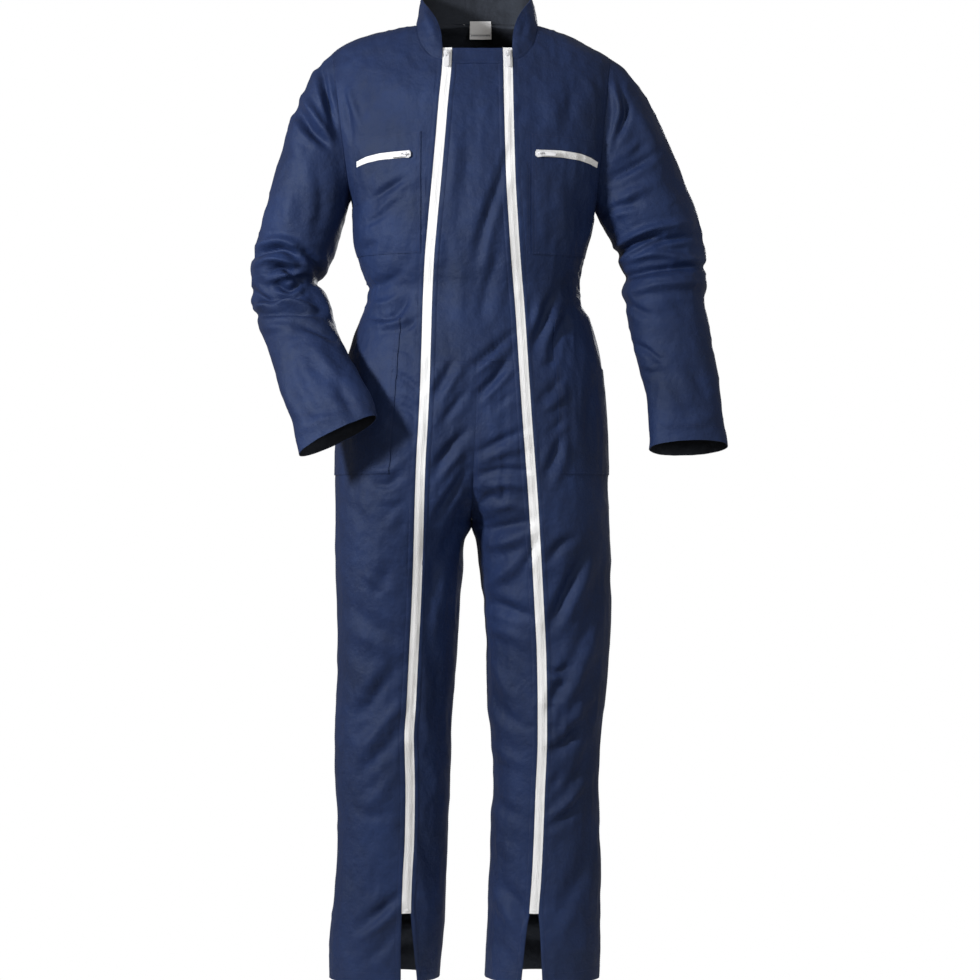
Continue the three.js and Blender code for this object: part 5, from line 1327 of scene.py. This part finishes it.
# The pieces. Pockets and their zips lie between two lines given by x and z.
CHEST_POCKET = {
    "right": ([(-89, -187), (-89, -382)], [(-200, -196), (-197, -300), (-235, -312), (-235, -382)]),
    "left": ([(89, -190), (89, -384)], [(200, -197), (191, -300), (191, -318), (225, -328), (225, -384)]),
}
HIP_POCKET = {
    "right": (
        [(-121, -486), (-131, -620), (-140, -738)],
        [(-184, -484), (-212, -560), (-260, -600), (-260, -740)],
    ),
    "left": (
        [(124, -486), (130, -620), (137, -738)],
        [(176, -484), (198, -560), (240, -600), (240, -740)],
    ),
}
POCKET_ZIP = {
    "right": (
        [(-106, -218), (-127, -219), (-155, -221), (-175, -224.5), (-193, -231)],
        [(-106, -229), (-127, -230), (-155, -231.5), (-175, -234.5), (-193, -240)],
    ),
    "left": (
        [(96, -217.3), (135, -217), (168, -220.2), (184, -225), (196, -230.6)],
        [(96, -228.1), (135, -227.9), (167, -231), (182, -235), (194.5, -239.6)],
    ),
}
BESIDE_ZIP = 3.2


def dress(piece, body, name):
    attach(piece, body)
    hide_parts(name)


def cloth(name, panel, thick, sewing, laps=(), drawn=()):
    """One cut piece: its wall, the turned edges that fill its seams, and its rows of stitches."""
    # Its inner faces get the painted-shade copy of the twill, which darkens the inside where shade falls.
    parts = [shell(panel.grid, panel.inner(thick), panel.closed, CLOTH, PAINTED_SHADE_INSIDE)]
    for edge in laps:
        last, before = (0, 1) if edge in ("near", "top") else (-1, -2)
        across = edge in ("top", "foot")
        grid, out = (g if across else g.swapaxes(0, 1) for g in (panel.grid, panel.out))
        parts.append(lap(grid[last], grid[before], out[last], thick, across and panel.closed))
    parts += [stitches(*panel.beside(*line)) for line in sewing]
    parts += [stitches(*line) for line in drawn]
    piece = mesh_of(name + "_cloth", parts, MATERIALS)
    dress(piece, "suit", name)


# Each row of stitches has the edge beside it, its distance, and the rows where it starts and stops.
PATCH_HEM = [("top", 2.5), ("foot", 2.5)]
for side in ("right", "left"):
    sign = -1 if side == "right" else 1
    front = outer_front(side)
    cloth("front_" + side, front, WALL, [
        ("near", TOPSTITCH), ("top", 3.5), ("far", 4, *SHOULDER_SEAM), ("far", 5, *ARMHOLE_SEAM),
        ("far", 3, SIDE_SEAM), ("foot", HEM_STITCH),
    ], laps=("near", "far", "top"),
        drawn=front.drawn([[(sign * x, -186), (sign * x, -384)] for x in (82, 85.5)]))

    pocket = Panel(*ruled(side, *CHEST_POCKET[side], rows=96, cols=40), "body", lift=LAP + PATCH_WALL)
    above, below = POCKET_ZIP[side]
    round_zip = [[(x, z + by) for x, z in line] for line, by in ((above, BESIDE_ZIP), (below, -BESIDE_ZIP))]
    cloth("chest_pocket_" + side, pocket, PATCH_WALL, [("near", 2), ("near", 7), *PATCH_HEM, ("far", 2.5)],
          drawn=pocket.drawn(round_zip))

    hip = Panel(*ruled(side, *HIP_POCKET[side], rows=110, cols=40), "body", lift=LAP + PATCH_WALL)
    cloth("hip_pocket_" + side, hip, PATCH_WALL, [
        ("near", 2), ("near", 8), *PATCH_HEM, ("far", 2.5, 0, 60), ("far", 8, 2, 52),
    ])

    leg = inner_front(side)
    fork = int(np.argmin(np.abs(leg.base[:, 0, 2] - CROTCH_Z)))
    sewing = [("near", TOPSTITCH), ("top", 3), ("top", 8), ("foot", HEM_STITCH), ("far", 3, fork + 2)]
    if side == "left":
        sewing += [("far", 3, 1, fork), ("far", 9, 1, fork)]
    cloth("leg_front_" + side, leg, WALL, sewing, laps=("near", "far"))

    seat = leg_back(side)
    fork = int(np.argmin(np.abs(seat.base[:, 0, 2] - CROTCH_Z)))
    sewing = [("near", 3, 3), ("top", 3), ("foot", HEM_STITCH), ("far", 3, 3)]
    if side == "left":
        sewing.append(("far", 9, 3, fork))
    cloth("leg_back_" + side, seat, WALL, sewing, laps=("far", "top"))

    cloth("sleeve_" + side, sleeve(side), WALL, [("top", 2.5), ("foot", 22), ("foot", 25.5)],
          laps=("top",))

cloth("front_centre", centre_front(), WALL, [
    ("near", TOPSTITCH), ("far", TOPSTITCH), ("top", 3), ("foot", 3),
], laps=("near", "far", "top", "foot"))
cloth("back_upper", upper_back(), WALL, [
    ("top", 3.5), ("foot", 4), ("foot", 34),
    *[(edge, inset, *SHOULDER_SEAM) for edge in ("near", "far") for inset in (4, 10)],
    ("near", 5, *ARMHOLE_SEAM), ("far", 5, *ARMHOLE_SEAM),
], laps=("top",))
cloth("collar", collar(), COLLAR_WALL, [("top", 5.5), ("foot", 3), ("near", 5), ("far", 5)])
cloth("front_band", front_band(), COLLAR_WALL, [("top", 5), ("foot", 3)])


# Zips
TOOTH_PITCH = 1.35
TOOTH_REACH = 1.35
TOOTH_HALF = (1.75, 0.52, 0.55)
STOP_HALF = (3.4, 1.6, 0.9)
POCKET_TAPE = 0.5


def chain(line, normals, lift):
    """Moulded teeth that reach in from each side in turn along a line."""
    total = run(line)
    at = np.arange(2.0, total[-1] - 2, TOOTH_PITCH)
    p, n = pick(at, total, line), pick(at, total, normals)
    n /= np.linalg.norm(n, axis=1)[:, None]
    v = pick(at + 1, total, line) - p
    v /= np.linalg.norm(v, axis=1)[:, None]
    u = np.cross(v, n)
    ways = np.where(np.arange(len(at)) % 2, 1, -1)
    return blocks([(p[i] + u[i] * way * TOOTH_REACH + n[i] * lift, u[i], v[i], n[i], TOOTH_HALF)
                   for i, way in enumerate(ways)])


def zip_parts(outer, inner, out, beside, lift):
    """A zip's tape, then its teeth with a row of stitches on each side."""
    middle = outer.shape[1] // 2
    teeth = [chain(outer[:, middle], out[:, middle], lift)]
    teeth += [stitches(outer[:, k], out[:, k], 2.6, 2.0, 0.2, TEETH) for k in beside]
    return [shell(outer, inner, slot=TAPE)], teeth


def long_zip(side):
    z = heights(ZIP_TOP, ZIP_FOOT, 470)
    us = np.array([-1, -0.96, -0.6, -0.3, 0, 0.3, 0.6, 0.96, 1])
    grid = cloth_at_x("front", zips[side](z)[:, None] + us * ZIP_HALF, z[:, None])
    n = normals_of(grid, from_middle(grid))
    in_plane(n, X_AXIS)
    rise = relief(grid, n, "body")
    outer = grid + n * (rise + (0.35 * np.abs(us) ** 3 - 0.55))[..., None]
    inner = grid + n * (rise - WALL)[..., None]
    out = normals_of(outer, n)
    tape, teeth = zip_parts(outer, inner, out, (2, 6), 0.35)
    foot, foot_n = outer[-3, 4], out[-3, 4]
    teeth.append(blocks([(foot + foot_n * 0.5, X_AXIS, Z_AXIS, foot_n, STOP_HALF)]))
    return tape, teeth


def pocket_zip(side):
    grid, n = ruled(side, *POCKET_ZIP[side], rows=60, cols=8)
    panel = Panel(grid, n, "body", lift=2 * LAP + PATCH_WALL + 0.55)
    return zip_parts(panel.grid, panel.inner(POCKET_TAPE), panel.out, (1, 7), 0.25)


for side in ("right", "left"):
    for name, (tape, teeth), flat, on in (
        ("zip_" + side, long_zip(side), (0.0148, 1.41), "front_" + side),
        ("pocket_zip_" + side, pocket_zip(side), (0.0105, 0.1), "chest_pocket_" + side),
    ):
        piece = mesh_of(name + "_tape", tape, MATERIALS)
        row = mesh_of(name + "_teeth", teeth, MATERIALS)
        dress(piece, "suit", name)
        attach(row, "suit")


# Sliders and pulls: the frame's own forms with rounded edges
def rounded(name, width, body):
    mesh = bpy.data.meshes.new(name + "_rounded")
    work = bmesh.new()
    work.from_mesh(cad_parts[name].data)
    bmesh.ops.remove_doubles(work, verts=work.verts, dist=1e-6)
    bmesh.ops.dissolve_limit(work, angle_limit=0.02, verts=work.verts, edges=work.edges)
    corners = [e for e in work.edges if len(e.link_faces) == 2 and e.calc_face_angle(0) > 0.5]
    bmesh.ops.bevel(work, geom=corners, offset=width, segments=2, profile=0.6, affect="EDGES",
                    clamp_overlap=True)
    for face in work.faces:
        face.smooth = True
    work.to_mesh(mesh)
    work.free()
    mesh.materials.append(METAL)
    dress(add_object(name + "_rounded", mesh), body, name)


for side in ("right", "left"):
    for kind in ("zip_", "pocket_"):
        rounded("slider_" + kind + side, 0.00035, "suit")
        rounded("pull_" + kind + side, 0.0003, "pull_" + kind + side)


# Labels
def label(name, x, y, width, top, foot, sewn):
    """A small woven strip, slightly wavy: sewn gives each line's height, slot and thickness."""
    us = np.linspace(-0.5, 0.5, 33)
    z = heights(top, foot, 20)
    gx = x + us[None] * width + 0 * z[:, None]
    wave = 0.35 * np.sin(us * 9 + 1)[None] * ((top - z) / (top - foot))[:, None]
    gy = y - (gx - x) ** 2 / 360 + wave - LABEL_WALL / 2
    grid = np.stack([gx, gy, z[:, None] + 0 * gx], -1)
    parts = [shell(grid, grid + Y_AXIS * LABEL_WALL, slot=0)]
    for at, slot, radius in sewn:
        line = grid[int(np.argmin(np.abs(z - at))), 2:31]
        parts.append(stitches(line, np.broadcast_to(-Y_AXIS, line.shape), 2.4, 1.9, radius, slot))
    piece = mesh_of(name + "_woven", parts, {0: LABEL, 1: MATERIALS[TAPE], 2: MATERIALS[THREAD]})
    dress(piece, "suit", name)


label("neck_label", 6.5, 46.5, 35, 17, -5, [(15.4, 1, 0.25), (-3.4, 1, 0.25)])
# The two rows of navy stitches across the size tab are a painted shadow line under the neck label's foot.
label("size_tab", 6.5, 47.5, 36, 10, -13, [(-6.2, 2, 0.5), (-7.2, 2, 0.5)])


# Floor, light and camera
FLOOR_RINGS = ((0.456, -1.666), (0.46, -1.662), (0.456, -1.66))
LAMPS = (
    ("key", (-1.85, -1.6, 0.2), (0, 0, -0.45), 66, 0.34),
    ("fill", (2.0, -3.9, 0.0), (0, 0, -0.6), 30, 1.2),
    ("top", (0.3, -1.2, 2.4), (0, 0, -0.4), 5, 1.0),
    ("behind", (0.9, 3.0, 0.3), (0, 0, -0.6), 48, 0.8),
)


def ground():
    turn = np.linspace(0, 2 * math.pi, 97)[:-1]
    n = len(turn)
    points = [(r * math.cos(t), r * math.sin(t), z) for r, z in FLOOR_RINGS for t in turn]
    faces = [(k + i, k + (i + 1) % n, k + n + (i + 1) % n, k + n + i) for k in (0, n) for i in range(n)]
    faces += [tuple(range(2 * n, 3 * n)), tuple(range(n - 1, -1, -1))]
    mesh = bpy.data.meshes.new("ground")
    mesh.from_pydata(points, [], faces)
    made, tree, shader = material("ground_white")
    grain = node(tree, "TexNoise", {"Scale": 60.0, "Detail": 3.0}).outputs["Fac"]
    stops = [(0.3, (0.8, 0.8, 0.8, 1)), (0.7, (0.84, 0.84, 0.84, 1))]
    connect(tree, shader, {"Base Color": ramp(tree, grain, stops), "Roughness": 0.8})
    mesh.materials.append(made)
    add_object("ground", mesh)


ground()
for name, place, target, power, size in LAMPS:
    light = bpy.data.lights.new(name, "AREA")
    light.energy, light.size = power, size
    lamp = add_object(name, light)
    lamp.location = place
    lamp.rotation_euler = (Vector(target) - Vector(place)).to_track_quat("-Z", "Y").to_euler()

scene = bpy.context.scene
scene.world = bpy.data.worlds.new("studio")
scene.world.use_nodes = True
sky = scene.world.node_tree
dim = sky.nodes["Background"]
connect(sky, dim, {"Color": (1.0, 0.94, 0.84, 1), "Strength": 0.23})
white = node(sky, "Background", {"Color": (1, 1, 1, 1), "Strength": 1.0}).outputs["Background"]
seen_directly = node(sky, "LightPath").outputs["Is Camera Ray"]
both = node(sky, "MixShader", {0: seen_directly, 1: dim.outputs["Background"], 2: white})
connect(sky, sky.nodes["World Output"], {"Surface": both.outputs["Shader"]})
scene.view_settings.view_transform = "Standard"
scene.view_settings.gamma = 1.08

lens = bpy.data.cameras.new("camera")
lens.lens, lens.sensor_width, lens.clip_end = 100.19, 36, 100
scene.camera = add_object("camera", lens)
scene.camera.location = (CAMERA_X / 1000, -CAMERA_AWAY / 1000, CAMERA_Z / 1000)
scene.camera.rotation_euler = (HALF_TURN, 0, 0)

bpy.context.view_layer.update()
